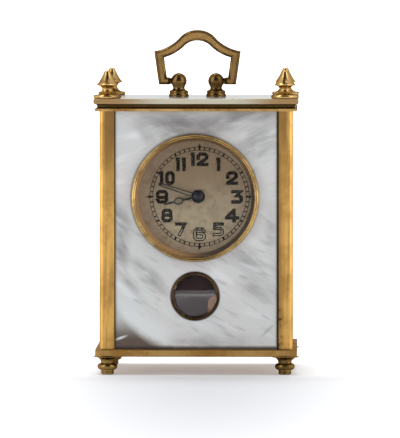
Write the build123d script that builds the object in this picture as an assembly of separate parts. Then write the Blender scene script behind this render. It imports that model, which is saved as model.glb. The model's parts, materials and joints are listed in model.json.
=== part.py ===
from build123d import *
from math import atan2, cos, degrees, hypot, pi, radians, sin, sqrt
import os

# Miniature carriage clock of gilt brass and mother-of-pearl, in millimetres.
# The origin is the middle of the footprint on the table, +Z is up and the dial faces -Y.
# Depths are measured backwards from the front face of the front panel.

# Clearances
FIT = 0.02
RUN = 0.05
PANEL_PLAY = 0.05
OVERRUN = 2.0

# Case plates and posts; the width and the height follow from the dial and the window
CASE_DEPTH = 43.0
SIDE_ROOM = 1.85
HEAD_ROOM = 3.25
FOOT_ROOM = 7.45
BASE_THICKNESS = 1.95
BASE_EDGE = 0.3
POST_SIDE = 4.1
POST_CORNER = 1.05
POST_INSET = 3.2
STUD_RADIUS = 0.95
STUD_REACH = 3.0
TOP_THICKNESS = 1.85
TOP_COVE = 0.62
TOP_COVE_RISE = 0.62
SLAB_THICKNESS = 1.4
SLAB_OVERHANG = 0.35
SLAB_EDGE = 0.2

# Turned feet and finials
FOOT_RADIUS = 3.64
FOOT_HEIGHT = 4.75
FOOT_STEM_SHARES = ((0.38, 0.0), (0.43, 0.05), (0.43, 0.25))
FOOT_BEAD_SHARES = ((0.70, 0.44), (0.43, 0.63))
FOOT_COVE_SHARES = ((0.50, 0.82), (0.94, 0.92))
FOOT_RIM_SHARES = ((1.0, 0.95), (1.0, 1.0))
FINIAL_RADIUS = 3.66
FINIAL_HEIGHT = 7.3
FINIAL_RIM_SHARES = ((0.90, 0.0), (1.0, 0.06), (0.98, 0.11))
FINIAL_NECK_SHARES = ((0.58, 0.17), (0.43, 0.32))
FINIAL_CUP_SHARES = ((0.69, 0.50), (0.73, 0.54), (0.70, 0.58))
FINIAL_CONE_SHARES = ((0.42, 0.75), (0.25, 0.92))
FINIAL_TIP_SHARES = ((0.18, 0.98), (0.06, 1.0))

# Mother-of-pearl panels, held in grooves of the posts
PANEL_THICKNESS = 1.6
GROOVE_LIP = 0.35
GROOVE_DEPTH = 0.6

# Folding handle and its ball lugs
HANDLE_RISE = 13.4
HANDLE_HALF_WIDTH = 11.4
HANDLE_CROWN = 2.8
HANDLE_SHOULDER = 2.65
HANDLE_FOOT_SHARE = 0.89
HANDLE_ARM = 2.1
HANDLE_FOOT_HEIGHT = 1.9
HANDLE_THICKNESS = 2.2
HANDLE_BEVEL = 0.5
HANDLE_PIN_RADIUS = 0.8
HANDLE_END_GAP = 0.3
HANDLE_OUTER_SHARES = ((0.287, 0.939), (0.438, 0.824), (0.621, 0.703), (1.0, 0.585))
HANDLE_INNER_SHARES = ((0.229, 0.962), (0.423, 0.844), (0.675, 0.691), (1.0, 0.583))
LUG_SPACING = 9.8
LUG_RISE = 4.15
LUG_BALL_RADIUS = 2.1
LUG_NECK_RADIUS = 1.55
LUG_WAIST_SHARE = 1.04
LUG_COLLAR_RADIUS = 2.6
LUG_COLLAR_HEIGHT = 1.3
LUG_NECK_HEIGHT = 2.7
LUG_STUD_RADIUS = 0.9
LUG_NUT_HEIGHT = 1.3
LUG_NUT_RADIUS = 1.8

# Rear door
DOOR_GAP = 0.3
DOOR_INSET = 0.4
DOOR_THICKNESS = 2.2
DOOR_BORDER = 4.2
DOOR_PANE_THICKNESS = 1.2
DOOR_PANE_LAP = 0.9
DOOR_PANE_PLAY = 0.1
DOOR_PIVOT_RADIUS = 0.55
DOOR_PIVOT_IN_DOOR = 2.5
DOOR_PIVOT_IN_PLATE = 1.2
DOOR_KNOB_RADIUS = 1.35
DOOR_KNOB_LENGTH = 1.6
DOOR_KNOB_SHANK = 0.7
DOOR_KNOB_SHARES = ((0.62, 0.0), (0.55, 0.30), (1.0, 0.62), (0.55, 1.0))

# Bezel, crystal and the housing behind them
BEZEL_X = -0.35
BEZEL_RADIUS = 16.55
BEZEL_WALL = 0.55
BEZEL_HEIGHT = 1.9
BEZEL_LIP = 0.4
BEZEL_LIP_THICKNESS = 0.4
BEZEL_EDGE = 0.3
CRYSTAL_EDGE = 0.7
CRYSTAL_RISE = 0.45
HOUSING_WALL = 0.35
HOUSING_FLANGE_REACH = 3.22
HOUSING_FLANGE = 1.0
BOSS_RADIUS = 1.2
BOSS_REACH = 1.92
BOSS_ANGLES = (75, 150, 330)
REHAUT_LIP = 0.12
REHAUT_REACH = 1.28

# Dial and hands
MOVEMENT_X = 0.5
MOVEMENT_RISE = 0.15
DIAL_DEPTH = 3.1
DIAL_THICKNESS = 0.4
DIAL_MARGIN = 0.33
DIAL_GAP = 0.1
DIAL_HOLE = 1.7
DIAL_FOOT_RADIUS = 0.5
DIAL_FOOT_MARGIN = 4.15
DIAL_FOOT_ANGLES = (0, 180)
DIAL_FOOT_IN_PLATE = 1.0
HAND_THICKNESS = 0.25
HOUR_HAND_DEPTH = 2.25
HOUR_HAND_LENGTH_SHARE = 0.582
HOUR_HAND_ANGLE = 257.0
HOUR_HAND_BOSS = 1.75
HOUR_HAND_STEM = 0.55
HOUR_HAND_EYE_AT_SHARE = 0.332
HOUR_HAND_EYE_LENGTH = 2.6
HOUR_HAND_EYE_WIDTH = 2.0
HOUR_HAND_EYE_WALL = 0.4
MINUTE_HAND_DEPTH = 1.45
MINUTE_HAND_LENGTH_SHARE = 0.69
MINUTE_HAND_ANGLE = 288.0
MINUTE_HAND_BOSS = 1.35
MINUTE_HAND_ROOT = 1.3
MINUTE_HAND_TIP = 0.85
MINUTE_HAND_WALL = 0.32
HAND_CAP_RADIUS = 1.6
HAND_CAP_HEIGHT = 1.0

# Small round window under the dial
WINDOW_X = -0.25
WINDOW_RADIUS = 6.35
WINDOW_TO_HOUSING = 0.15
WINDOW_FLANGE = 0.4
WINDOW_TUBE_RADIUS = 5.95
WINDOW_TUBE_WALL = 0.35
WINDOW_TUBE_LENGTH = 2.9
WINDOW_GLASS_EDGE = 0.6
WINDOW_GLASS_RISE = 0.75
WINDOW_GLASS_DEPTH = 0.35
WINDOW_LINING_THICKNESS = 0.3
WINDOW_CARD_THICKNESS = 0.8
WINDOW_GAP = 0.1
WINDOW_TEAR_ANGLE = -30.0
WINDOW_TEAR_RADIUS = 1.35
WINDOW_TEAR_AT = 5.0

# Movement plates, pillars and screws
PLATE_REACH = 3.42
PLATE_THICKNESS = 1.5
MOTION_SPACE = 2.5
TRAIN_SPACE = 7.0
PILLAR_RADIUS = 1.3
PILLAR_MARGIN = 2.2
PILLAR_ANGLES = (33, 112, 195, 292)
PILLAR_SPIGOT_RADIUS = 0.8
SCREW_RADIUS = 0.55
SCREW_LENGTH = 2.2
SCREW_HEAD_RADIUS = 1.1
SCREW_HEAD = 0.7
SCREW_SLOT_WIDTH = 0.25
SCREW_SLOT_DEPTH = 0.3

# Tooth shapes as (height, half thickness) shares of the module
WHEEL_TOOTH_SHARES = ((-1.57, 0.76), (0.0, 0.76), (0.70, 0.52), (1.20, 0.12))
PINION_LEAF_SHARES = ((-1.62, 0.52), (0.0, 0.52), (0.36, 0.38), (0.55, 0.15))

# Going train: teeth, pitch diameters and the directions from one arbor to the next
BARREL_TEETH = 60
BARREL_DIAMETER = 15.0
CENTER_PINION_LEAVES = 10
BARREL_DIRECTION = 240.0
CENTER_TEETH = 64
CENTER_DIAMETER = 14.08
THIRD_PINION_LEAVES = 8
THIRD_DIRECTION = 10.0
THIRD_TEETH = 60
THIRD_DIAMETER = 12.0
FOURTH_PINION_LEAVES = 8
FOURTH_DIRECTION = 115.0
FOURTH_TEETH = 80
FOURTH_DIAMETER = 11.2
ESCAPE_PINION_LEAVES = 8
ESCAPE_DIRECTION = 170.0
WHEEL_THICKNESS = 0.5
WHEEL_RIM = 0.9
WHEEL_HUB_RADIUS = 1.5
WHEEL_SPOKES = 4
WHEEL_SPOKE_WIDTH = 0.6
PINION_OVERLAP = 0.2
ARBOR_RADIUS = 0.38
SEAT_RADIUS = 0.75
CENTER_SEAT_RADIUS = 0.95
CENTER_ARBOR_RADIUS = 0.55

# Places of the wheels behind the front plate
BARREL_GAP = 0.5
BARREL_RIM_THICKNESS = 1.0
BARREL_LENGTH = 4.4
BARREL_WALL = 0.4
BARREL_FLOOR = 0.7
BARREL_COVER = 0.5
BARREL_CORE_RADIUS = 1.6
BARREL_ARBOR_RADIUS = 1.2
BARREL_PIVOT_RADIUS = 0.8
BARREL_SHAKE = 0.15
THIRD_WHEEL_GAP = 2.0
FOURTH_WHEEL_GAP = 3.5
ESCAPE_WHEEL_GAP = 4.5
CENTER_WHEEL_GAP = 5.7
MAINSPRING_THICKNESS = 0.25
MAINSPRING_PITCH = 0.72
MAINSPRING_HALF_TURNS = 12
MAINSPRING_PLAY = 0.3

# Escapement and balance
ESCAPE_TEETH = 15
ESCAPE_TIP_RADIUS = 2.6
ESCAPE_ROOT_RADIUS = 1.9
ESCAPE_LEAN_SHARE = 0.32
ESCAPE_TIP_SHARE = 0.12
PALLET_DIRECTION = 150.0
PALLET_DISTANCE = 3.4
PALLET_SPREAD = 30.0
PALLET_CLEARANCE = 0.25
PALLET_STONE_WIDTH = 0.4
PALLET_STONE_LENGTH = 0.9
PALLET_ARM_WIDTH = 0.5
PALLET_HUB_RADIUS = 0.65
PALLET_ARBOR_RADIUS = 0.3
FORK_LENGTH = 3.1
FORK_HORN = 0.75
FORK_SLOT = 0.45
BALANCE_DIRECTION = 215.0
BALANCE_DISTANCE = 4.6
BALANCE_RADIUS = 5.0
BALANCE_RIM = 0.9
BALANCE_THICKNESS = 0.8
BALANCE_GAP = 1.2
BALANCE_HUB_RADIUS = 0.95
BALANCE_SPOKES = 3
STAFF_RADIUS = 0.45
STAFF_PIVOT_RADIUS = 0.25
STAFF_HOLE = 1.5
ROLLER_RADIUS = 0.95
ROLLER_THICKNESS = 0.4
ROLLER_GAP = 0.15
IMPULSE_PIN_RADIUS = 0.13
IMPULSE_PIN_AT = 0.72
HAIRSPRING_GAP = 0.45
HAIRSPRING_HEIGHT = 0.35
HAIRSPRING_THICKNESS = 0.1
HAIRSPRING_START = 0.62
HAIRSPRING_PITCH = 0.58
HAIRSPRING_HALF_TURNS = 10
COCK_DIRECTION = 100.0
COCK_REACH = 7.2
COCK_WIDTH = 3.0
COCK_FOOT_RADIUS = 1.75
COCK_THICKNESS = 1.2
COCK_GAP = 0.35
COCK_BOSS_RADIUS = 0.95
COCK_BOSS_HEIGHT = 0.45
REGULATOR_THICKNESS = 0.35
REGULATOR_RING = 0.65
REGULATOR_LENGTH = 4.4
REGULATOR_WIDTH = 0.5
REGULATOR_DIRECTION = 205.0

# Motion work between the dial and the front plate
CANNON_LEAVES = 12
MINUTE_WHEEL_TEETH = 36
MINUTE_WHEEL_DIAMETER = 7.2
MINUTE_PINION_LEAVES = 10
HOUR_WHEEL_TEETH = 40
MINUTE_WHEEL_DIRECTION = 300.0
MINUTE_WHEEL_GAP = 0.35
MOTION_WHEEL_THICKNESS = 0.55
MOTION_LAYER_GAP = 0.4
MINUTE_POST_RADIUS = 0.42
CANNON_PIPE_RADIUS = 0.85
HOUR_PIPE_WALL = 0.35

# Winding and setting
RATCHET_TEETH = 32
RATCHET_RADIUS = 4.6
RATCHET_TOOTH = 0.5
RATCHET_THICKNESS = 0.8
RATCHET_GAP = 0.3
SQUARE_SIDE = 1.5
CLICK_ANGLE = 150.0
CLICK_REACH = 3.0
CLICK_OFFSET = 1.1
CLICK_CLEARANCE = 0.08
CLICK_BOSS_RADIUS = 1.15
CLICK_TIP_WIDTH = 0.55
CLICK_SPRING_THICKNESS = 0.25
CLICK_SPRING_GAP = 0.06
CLICK_SPRING_LENGTH = 5.0
CLICK_SPRING_BEND = 1.1
CLICK_SPRING_PIN_RADIUS = 0.4
KEY_HUB_RADIUS = 1.7
KEY_HUB_GAP = 0.4
KEY_HUB_LENGTH = 6.0
KEY_WING_REACH = 5.0
KEY_WING_RADIUS = 2.5
KEY_WING_RISE = 3.0
KEY_WING_THICKNESS = 1.2
KNOB_RADIUS = 3.0
KNOB_GAP = 5.6
KNOB_LENGTH = 2.6
KNOB_HUB_RADIUS = 1.3
KNOB_RIBS = 24
KNOB_RIB_DEPTH = 0.22

# Sizes, levels and places that follow
TUBE_RADIUS = BEZEL_RADIUS - BEZEL_WALL - FIT
HOUSING_FLANGE_RADIUS = TUBE_RADIUS + HOUSING_FLANGE_REACH
BOSS_CIRCLE = TUBE_RADIUS + BOSS_REACH
REHAUT_OPENING = TUBE_RADIUS - REHAUT_REACH
DIAL_RADIUS = TUBE_RADIUS - DIAL_MARGIN
DIAL_FOOT_CIRCLE = DIAL_RADIUS - DIAL_FOOT_MARGIN
PLATE_RADIUS = TUBE_RADIUS + PLATE_REACH
PILLAR_CIRCLE = PLATE_RADIUS - PILLAR_MARGIN
CASE_WIDTH = 2 * (HOUSING_FLANGE_RADIUS + SIDE_ROOM + POST_SIDE / 2 + POST_INSET)
BASE_TOP = FOOT_HEIGHT + BASE_THICKNESS
WINDOW_Z = BASE_TOP + FOOT_ROOM + WINDOW_RADIUS
BEZEL_Z = WINDOW_Z + WINDOW_RADIUS + WINDOW_TO_HOUSING + HOUSING_FLANGE_RADIUS
POST_HEIGHT = BEZEL_Z + HOUSING_FLANGE_RADIUS + HEAD_ROOM - BASE_TOP
POST_TOP = BASE_TOP + POST_HEIGHT
SLAB_BOTTOM = POST_TOP + TOP_THICKNESS
SLAB_TOP = SLAB_BOTTOM + SLAB_THICKNESS
POST_X = CASE_WIDTH / 2 - POST_INSET
POST_Y = CASE_DEPTH / 2 - POST_INSET
PANEL_FRONT_Y = -(POST_Y + POST_SIDE / 2 - GROOVE_LIP)
SIDE_PANEL_X = POST_X + POST_SIDE / 2 - GROOVE_LIP
HANDLE_AXLE_Z = SLAB_TOP + LUG_RISE
DOOR_Y = POST_Y + POST_SIDE / 2 - DOOR_INSET - DOOR_THICKNESS / 2
DOOR_HALF_WIDTH = POST_X - POST_SIDE / 2 - DOOR_GAP
DOOR_PIVOT_X = DOOR_HALF_WIDTH - DOOR_THICKNESS / 2
BEZEL_AT = (BEZEL_X, BEZEL_Z)
WINDOW_AT = (WINDOW_X, WINDOW_Z)
CENTER_AT = (MOVEMENT_X, BEZEL_Z + MOVEMENT_RISE)
TUBE_FRONT = -(BEZEL_HEIGHT - BEZEL_LIP_THICKNESS - CRYSTAL_EDGE)
DIAL_BACK = DIAL_DEPTH + DIAL_THICKNESS
FRONT_PLATE_FRONT = DIAL_BACK + MOTION_SPACE
TRAIN_FRONT = FRONT_PLATE_FRONT + PLATE_THICKNESS
BACK_PLATE_FRONT = TRAIN_FRONT + TRAIN_SPACE
MOVEMENT_BACK = BACK_PLATE_FRONT + PLATE_THICKNESS
BARREL_FRONT = TRAIN_FRONT + BARREL_GAP
BARREL_BACK = BARREL_FRONT + BARREL_LENGTH
BALANCE_FRONT = MOVEMENT_BACK + BALANCE_GAP
HAIRSPRING_FRONT = BALANCE_FRONT + BALANCE_THICKNESS + HAIRSPRING_GAP
COCK_FRONT = HAIRSPRING_FRONT + HAIRSPRING_HEIGHT + COCK_GAP
COCK_BACK = COCK_FRONT + COCK_THICKNESS
RATCHET_FRONT = MOVEMENT_BACK + RATCHET_GAP
RATCHET_BACK = RATCHET_FRONT + RATCHET_THICKNESS
KEY_FRONT = RATCHET_BACK + KEY_HUB_GAP
KNOB_FRONT = MOVEMENT_BACK + KNOB_GAP
KNOB_BACK = KNOB_FRONT + KNOB_LENGTH
MINUTE_WHEEL_BACK = FRONT_PLATE_FRONT - MINUTE_WHEEL_GAP
MINUTE_WHEEL_FRONT = MINUTE_WHEEL_BACK - MOTION_WHEEL_THICKNESS
HOUR_WHEEL_BACK = MINUTE_WHEEL_FRONT - MOTION_LAYER_GAP
HOUR_WHEEL_FRONT = HOUR_WHEEL_BACK - MOTION_WHEEL_THICKNESS
HOUR_HAND_LENGTH = DIAL_RADIUS * HOUR_HAND_LENGTH_SHARE
HOUR_HAND_EYE_AT = DIAL_RADIUS * HOUR_HAND_EYE_AT_SHARE
MINUTE_HAND_LENGTH = DIAL_RADIUS * MINUTE_HAND_LENGTH_SHARE
HAND_CAP_BACK = MINUTE_HAND_DEPTH
HAND_CAP_FRONT = HAND_CAP_BACK - HAND_CAP_HEIGHT


def beside(at, distance, angle):
    """The point a distance away from another in the dial plane; the angle runs from +X to +Z."""
    return (at[0] + distance * cos(radians(angle)), at[1] + distance * sin(radians(angle)))


def pitch_radius(teeth, module):
    return teeth * module / 2


def mesh_distance(wheel_teeth, pinion_leaves, module):
    return pitch_radius(wheel_teeth + pinion_leaves, module)


BARREL_MODULE = BARREL_DIAMETER / BARREL_TEETH
CENTER_MODULE = CENTER_DIAMETER / CENTER_TEETH
THIRD_MODULE = THIRD_DIAMETER / THIRD_TEETH
FOURTH_MODULE = FOURTH_DIAMETER / FOURTH_TEETH
CANNON_MODULE = MINUTE_WHEEL_DIAMETER / MINUTE_WHEEL_TEETH
BARREL_DISTANCE = mesh_distance(BARREL_TEETH, CENTER_PINION_LEAVES, BARREL_MODULE)
THIRD_DISTANCE = mesh_distance(CENTER_TEETH, THIRD_PINION_LEAVES, CENTER_MODULE)
FOURTH_DISTANCE = mesh_distance(THIRD_TEETH, FOURTH_PINION_LEAVES, THIRD_MODULE)
ESCAPE_DISTANCE = mesh_distance(FOURTH_TEETH, ESCAPE_PINION_LEAVES, FOURTH_MODULE)
BARREL_AT = beside(CENTER_AT, BARREL_DISTANCE, BARREL_DIRECTION)
THIRD_AT = beside(CENTER_AT, THIRD_DISTANCE, THIRD_DIRECTION)
FOURTH_AT = beside(THIRD_AT, FOURTH_DISTANCE, FOURTH_DIRECTION)
ESCAPE_AT = beside(FOURTH_AT, ESCAPE_DISTANCE, ESCAPE_DIRECTION)
PALLET_AT = beside(ESCAPE_AT, PALLET_DISTANCE, PALLET_DIRECTION)
BALANCE_AT = beside(PALLET_AT, BALANCE_DISTANCE, BALANCE_DIRECTION)
COCK_FOOT_AT = beside(BALANCE_AT, COCK_REACH, COCK_DIRECTION)
MOTION_DISTANCE = mesh_distance(MINUTE_WHEEL_TEETH, CANNON_LEAVES, CANNON_MODULE)
HOUR_MODULE = 2 * MOTION_DISTANCE / (HOUR_WHEEL_TEETH + MINUTE_PINION_LEAVES)
MINUTE_WHEEL_AT = beside(CENTER_AT, MOTION_DISTANCE, MINUTE_WHEEL_DIRECTION)
RATCHET_ROOT = RATCHET_RADIUS - RATCHET_TOOTH
RATCHET_PITCH = 360 / RATCHET_TEETH
CLICK_OVER_TEETH = beside(BARREL_AT, RATCHET_RADIUS + CLICK_OFFSET, CLICK_ANGLE)
CLICK_AT = beside(CLICK_OVER_TEETH, CLICK_REACH, CLICK_ANGLE - 90)
PILLAR_PLACES = [beside(CENTER_AT, PILLAR_CIRCLE, angle) for angle in PILLAR_ANGLES]
BOSS_PLACES = [beside(BEZEL_AT, BOSS_CIRCLE, angle) for angle in BOSS_ANGLES]
DIAL_FOOT_PLACES = [beside(CENTER_AT, DIAL_FOOT_CIRCLE, angle) for angle in DIAL_FOOT_ANGLES]


def outline(start, *steps):
    """A closed face; each step is a point, or a pair (through, end) for an arc."""
    edges = []
    here = start
    for step in steps:
        if isinstance(step[0], tuple):
            edges.append(ThreePointArc(here, step[0], step[1]))
            here = step[1]
        else:
            edges.append(Line(here, step))
            here = step
    edges.append(Line(here, start))
    return make_face(edges)


def turned_upright(face):
    """Turns a (radius, height) outline round the Z axis."""
    return revolve(Plane.XZ * face, Axis.Z)


def turned_facing(face, at):
    """Turns a (radius, depth) outline round an arbor that runs from front to back."""
    return Pos(at[0], 0, at[1]) * revolve(Pos(0, PANEL_FRONT_Y) * face, Axis.Y)


def layer(sketch, front, back, at=(0, 0)):
    """A plate of the given outline, between two depths."""
    plane = Plane(origin=(at[0], PANEL_FRONT_Y + back, at[1]), x_dir=(1, 0, 0), z_dir=(0, -1, 0))
    return extrude(plane * sketch, amount=back - front, dir=(0, -1, 0))


def rod(radius, front, back, at):
    return layer(Circle(radius), front, back, at)


def tube(radius, bore, front, back, at):
    return layer(Circle(radius) - Circle(bore), front, back, at)


def group(pieces):
    return Compound([solid for piece in pieces for solid in piece.solids()])


def scaled(shares, width, height):
    return [(width * across, height * up) for across, up in shares]


def strut(start, end, width):
    """A bar with round ends between two points of a sketch."""
    length = hypot(end[0] - start[0], end[1] - start[1])
    middle = ((start[0] + end[0]) / 2, (start[1] + end[1]) / 2)
    angle = degrees(atan2(end[1] - start[1], end[0] - start[0]))
    return Pos(*middle) * Rot(0, 0, angle) * SlotCenterToCenter(length, width)


def gear(teeth, module, tooth_shares, phase):
    """A toothed outline with one tooth's middle at the phase angle."""
    radius = pitch_radius(teeth, module)
    points = []
    for tooth in range(teeth):
        middle = radians(phase + 360 * tooth / teeth)
        rising = [(radius + up * module, middle - half * module / radius) for up, half in tooth_shares]
        falling = [(reach, 2 * middle - angle) for reach, angle in reversed(rising)]
        points += [(reach * cos(angle), reach * sin(angle)) for reach, angle in rising + falling]
    return make_face(Polyline(*points, close=True))


def wheel_gear(teeth, module, direction):
    return gear(teeth, module, WHEEL_TOOTH_SHARES, direction)


def pinion_gear(leaves, module, direction):
    """A pinion that leaves a gap for the wheel's tooth that points at it."""
    return gear(leaves, module, PINION_LEAF_SHARES, direction + 180 - 180 / leaves)


def crossings(rim_radius, hub_radius, spokes, spoke_width):
    """The windows between the spokes of a wheel."""
    windows = Circle(rim_radius) - Circle(hub_radius)
    spoke = Pos(rim_radius / 2, 0) * Rectangle(rim_radius, spoke_width)
    for number in range(spokes):
        windows -= Rot(0, 0, 360 * number / spokes) * spoke
    return windows


def spoked_wheel(at, teeth, module, direction, seat, gap):
    """A brass train wheel, crossed out, with a bore for the seat on its arbor."""
    face = wheel_gear(teeth, module, direction) - Circle(seat + FIT)
    rim = pitch_radius(teeth, module) - WHEEL_RIM
    face -= crossings(rim, WHEEL_HUB_RADIUS, WHEEL_SPOKES, WHEEL_SPOKE_WIDTH)
    front = TRAIN_FRONT + gap
    return layer(face, front, front + WHEEL_THICKNESS, at)


def spiral(start, pitch, half_turns, thickness):
    """A flat spiral strip made of half circles that grow by half a pitch each."""

    def ends(offset):
        return [(-1) ** turn * (start + offset + turn * pitch / 2) for turn in range(half_turns + 1)]

    def half_circle(turn, marks):
        middle = (marks[turn] + marks[turn + 1]) / 2
        reach = abs(marks[turn] - marks[turn + 1]) / 2
        side = (-1) ** turn
        return ThreePointArc((marks[turn], 0), (middle, side * reach), (marks[turn + 1], 0))

    outer = ends(thickness / 2)
    inner = ends(-thickness / 2)
    edges = [half_circle(turn, marks) for marks in (outer, inner) for turn in range(half_turns)]
    edges += [Line((outer[mark], 0), (inner[mark], 0)) for mark in (0, half_turns)]
    return make_face(edges)


def corners(z=0):
    """The four post places, front first."""
    return [Pos(side * POST_X, end * POST_Y, z) for end in (-1, 1) for side in (-1, 1)]


# Case plates, posts, feet and finials


def rounded_plate(width, depth, thickness, edge):
    plate = Box(width, depth, thickness, align=(Align.CENTER, Align.CENTER, Align.MIN))
    return fillet(plate.edges(), edge)


def stud_holes(thickness):
    return [place * Cylinder(STUD_RADIUS + FIT, 2 * thickness + OVERRUN) for place in corners()]


def lug_stud_holes(thickness):
    hole = Cylinder(LUG_STUD_RADIUS + FIT, 2 * thickness + OVERRUN)
    return [Pos(side * LUG_SPACING / 2, 0, 0) * hole for side in (-1, 1)]


def base_plate():
    plate = rounded_plate(CASE_WIDTH, CASE_DEPTH, BASE_THICKNESS, BASE_EDGE)
    plate -= stud_holes(BASE_THICKNESS)
    hole = Cylinder(DOOR_PIVOT_RADIUS + RUN, 2 * DOOR_PIVOT_IN_PLATE)
    plate -= Pos(DOOR_PIVOT_X, DOOR_Y, BASE_THICKNESS) * hole
    return Pos(0, 0, FOOT_HEIGHT) * plate


def top_plate():
    """The plate under the slab, with a hollow moulding all round its edge."""
    plate = Box(CASE_WIDTH, CASE_DEPTH, TOP_THICKNESS, align=(Align.CENTER, Align.CENTER, Align.MIN))
    height = TOP_THICKNESS / 2 + TOP_COVE_RISE / 2
    long_hollow = Rot(0, 90, 0) * Cylinder(TOP_COVE, CASE_WIDTH + OVERRUN)
    short_hollow = Rot(90, 0, 0) * Cylinder(TOP_COVE, CASE_DEPTH + OVERRUN)
    for side in (-1, 1):
        plate -= Pos(0, side * CASE_DEPTH / 2, height) * long_hollow
        plate -= Pos(side * CASE_WIDTH / 2, 0, height) * short_hollow
    plate -= stud_holes(TOP_THICKNESS)
    hole = Cylinder(DOOR_PIVOT_RADIUS + RUN, 2 * DOOR_PIVOT_IN_PLATE)
    plate -= Pos(DOOR_PIVOT_X, DOOR_Y, 0) * hole
    plate -= lug_stud_holes(TOP_THICKNESS)
    return Pos(0, 0, POST_TOP) * plate


def top_slab():
    width = CASE_WIDTH + 2 * SLAB_OVERHANG
    depth = CASE_DEPTH + 2 * SLAB_OVERHANG
    slab = rounded_plate(width, depth, SLAB_THICKNESS, SLAB_EDGE)
    slab -= stud_holes(SLAB_THICKNESS)
    slab -= lug_stud_holes(SLAB_THICKNESS)
    return Pos(0, 0, SLAB_BOTTOM) * slab


def post(side, end):
    """A square post with a rounded outer corner, panel grooves and a stud at each end."""
    bar = Box(POST_SIDE, POST_SIDE, POST_HEIGHT, align=(Align.CENTER, Align.CENTER, Align.MIN))
    upright_edges = bar.edges().filter_by(Axis.Z)
    outermost = upright_edges.sort_by(lambda edge: side * edge.center().X + end * edge.center().Y)[-1]
    bar = fillet(outermost, POST_CORNER)
    width = PANEL_THICKNESS + 2 * PANEL_PLAY
    middle = POST_SIDE / 2 - GROOVE_LIP - PANEL_THICKNESS / 2
    groove = Box(2 * GROOVE_DEPTH, width, 2 * POST_HEIGHT + OVERRUN)
    if end < 0:
        bar -= Pos(-side * POST_SIDE / 2, end * middle, 0) * groove
    bar -= Pos(side * middle, -end * POST_SIDE / 2, 0) * Rot(0, 0, 90) * groove
    lower = BASE_THICKNESS + STUD_REACH
    upper = TOP_THICKNESS + SLAB_THICKNESS + STUD_REACH
    bar += Pos(0, 0, -lower / 2) * Cylinder(STUD_RADIUS, lower)
    bar += Pos(0, 0, POST_HEIGHT + upper / 2) * Cylinder(STUD_RADIUS, upper)
    return Pos(side * POST_X, end * POST_Y, BASE_TOP) * bar


def foot():
    """A turned foot: stem, bead, hollow and flange, bored for the post's stud."""
    stem = scaled(FOOT_STEM_SHARES, FOOT_RADIUS, FOOT_HEIGHT)
    bead = tuple(scaled(FOOT_BEAD_SHARES, FOOT_RADIUS, FOOT_HEIGHT))
    cove = tuple(scaled(FOOT_COVE_SHARES, FOOT_RADIUS, FOOT_HEIGHT))
    rim = scaled(FOOT_RIM_SHARES, FOOT_RADIUS, FOOT_HEIGHT)
    solid = turned_upright(outline((0, 0), *stem, bead, cove, *rim, (0, FOOT_HEIGHT)))
    return solid - Pos(0, 0, FOOT_HEIGHT) * Cylinder(STUD_RADIUS + FIT, 2 * (STUD_REACH + FIT))


def finial():
    """A turned finial nut: rim, neck, cup and a slim cone, bored for the post's stud."""
    rim = scaled(FINIAL_RIM_SHARES, FINIAL_RADIUS, FINIAL_HEIGHT)
    neck = tuple(scaled(FINIAL_NECK_SHARES, FINIAL_RADIUS, FINIAL_HEIGHT))
    cup = scaled(FINIAL_CUP_SHARES, FINIAL_RADIUS, FINIAL_HEIGHT)
    cone = tuple(scaled(FINIAL_CONE_SHARES, FINIAL_RADIUS, FINIAL_HEIGHT))
    tip = tuple(scaled(FINIAL_TIP_SHARES, FINIAL_RADIUS, FINIAL_HEIGHT))
    solid = turned_upright(outline((0, 0), *rim, neck, *cup, cone, tip, (0, FINIAL_HEIGHT)))
    return solid - Cylinder(STUD_RADIUS + FIT, 2 * (STUD_REACH + FIT))


# Mother-of-pearl panels


def panel_height():
    return POST_HEIGHT - 2 * PANEL_PLAY


def panel_reach(place):
    """Half the width of a panel whose edges stand in the grooves of two posts."""
    return place - POST_SIDE / 2 + GROOVE_DEPTH - PANEL_PLAY


def front_panel():
    middle = (0, BASE_TOP + POST_HEIGHT / 2)
    sheet = layer(Rectangle(2 * panel_reach(POST_X), panel_height()), 0, PANEL_THICKNESS, middle)
    sheet -= rod(TUBE_RADIUS + PANEL_PLAY, -OVERRUN, PANEL_THICKNESS + OVERRUN, BEZEL_AT)
    return sheet - rod(WINDOW_TUBE_RADIUS + PANEL_PLAY, -OVERRUN, PANEL_THICKNESS + OVERRUN, WINDOW_AT)


def side_panel(side):
    sheet = Box(PANEL_THICKNESS, 2 * panel_reach(POST_Y), panel_height())
    return Pos(side * (SIDE_PANEL_X - PANEL_THICKNESS / 2), 0, BASE_TOP + POST_HEIGHT / 2) * sheet


# Folding handle


def lug_end():
    """Where the handle's foot stops beside its ball lug."""
    return LUG_SPACING / 2 + LUG_BALL_RADIUS + HANDLE_END_GAP


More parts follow.
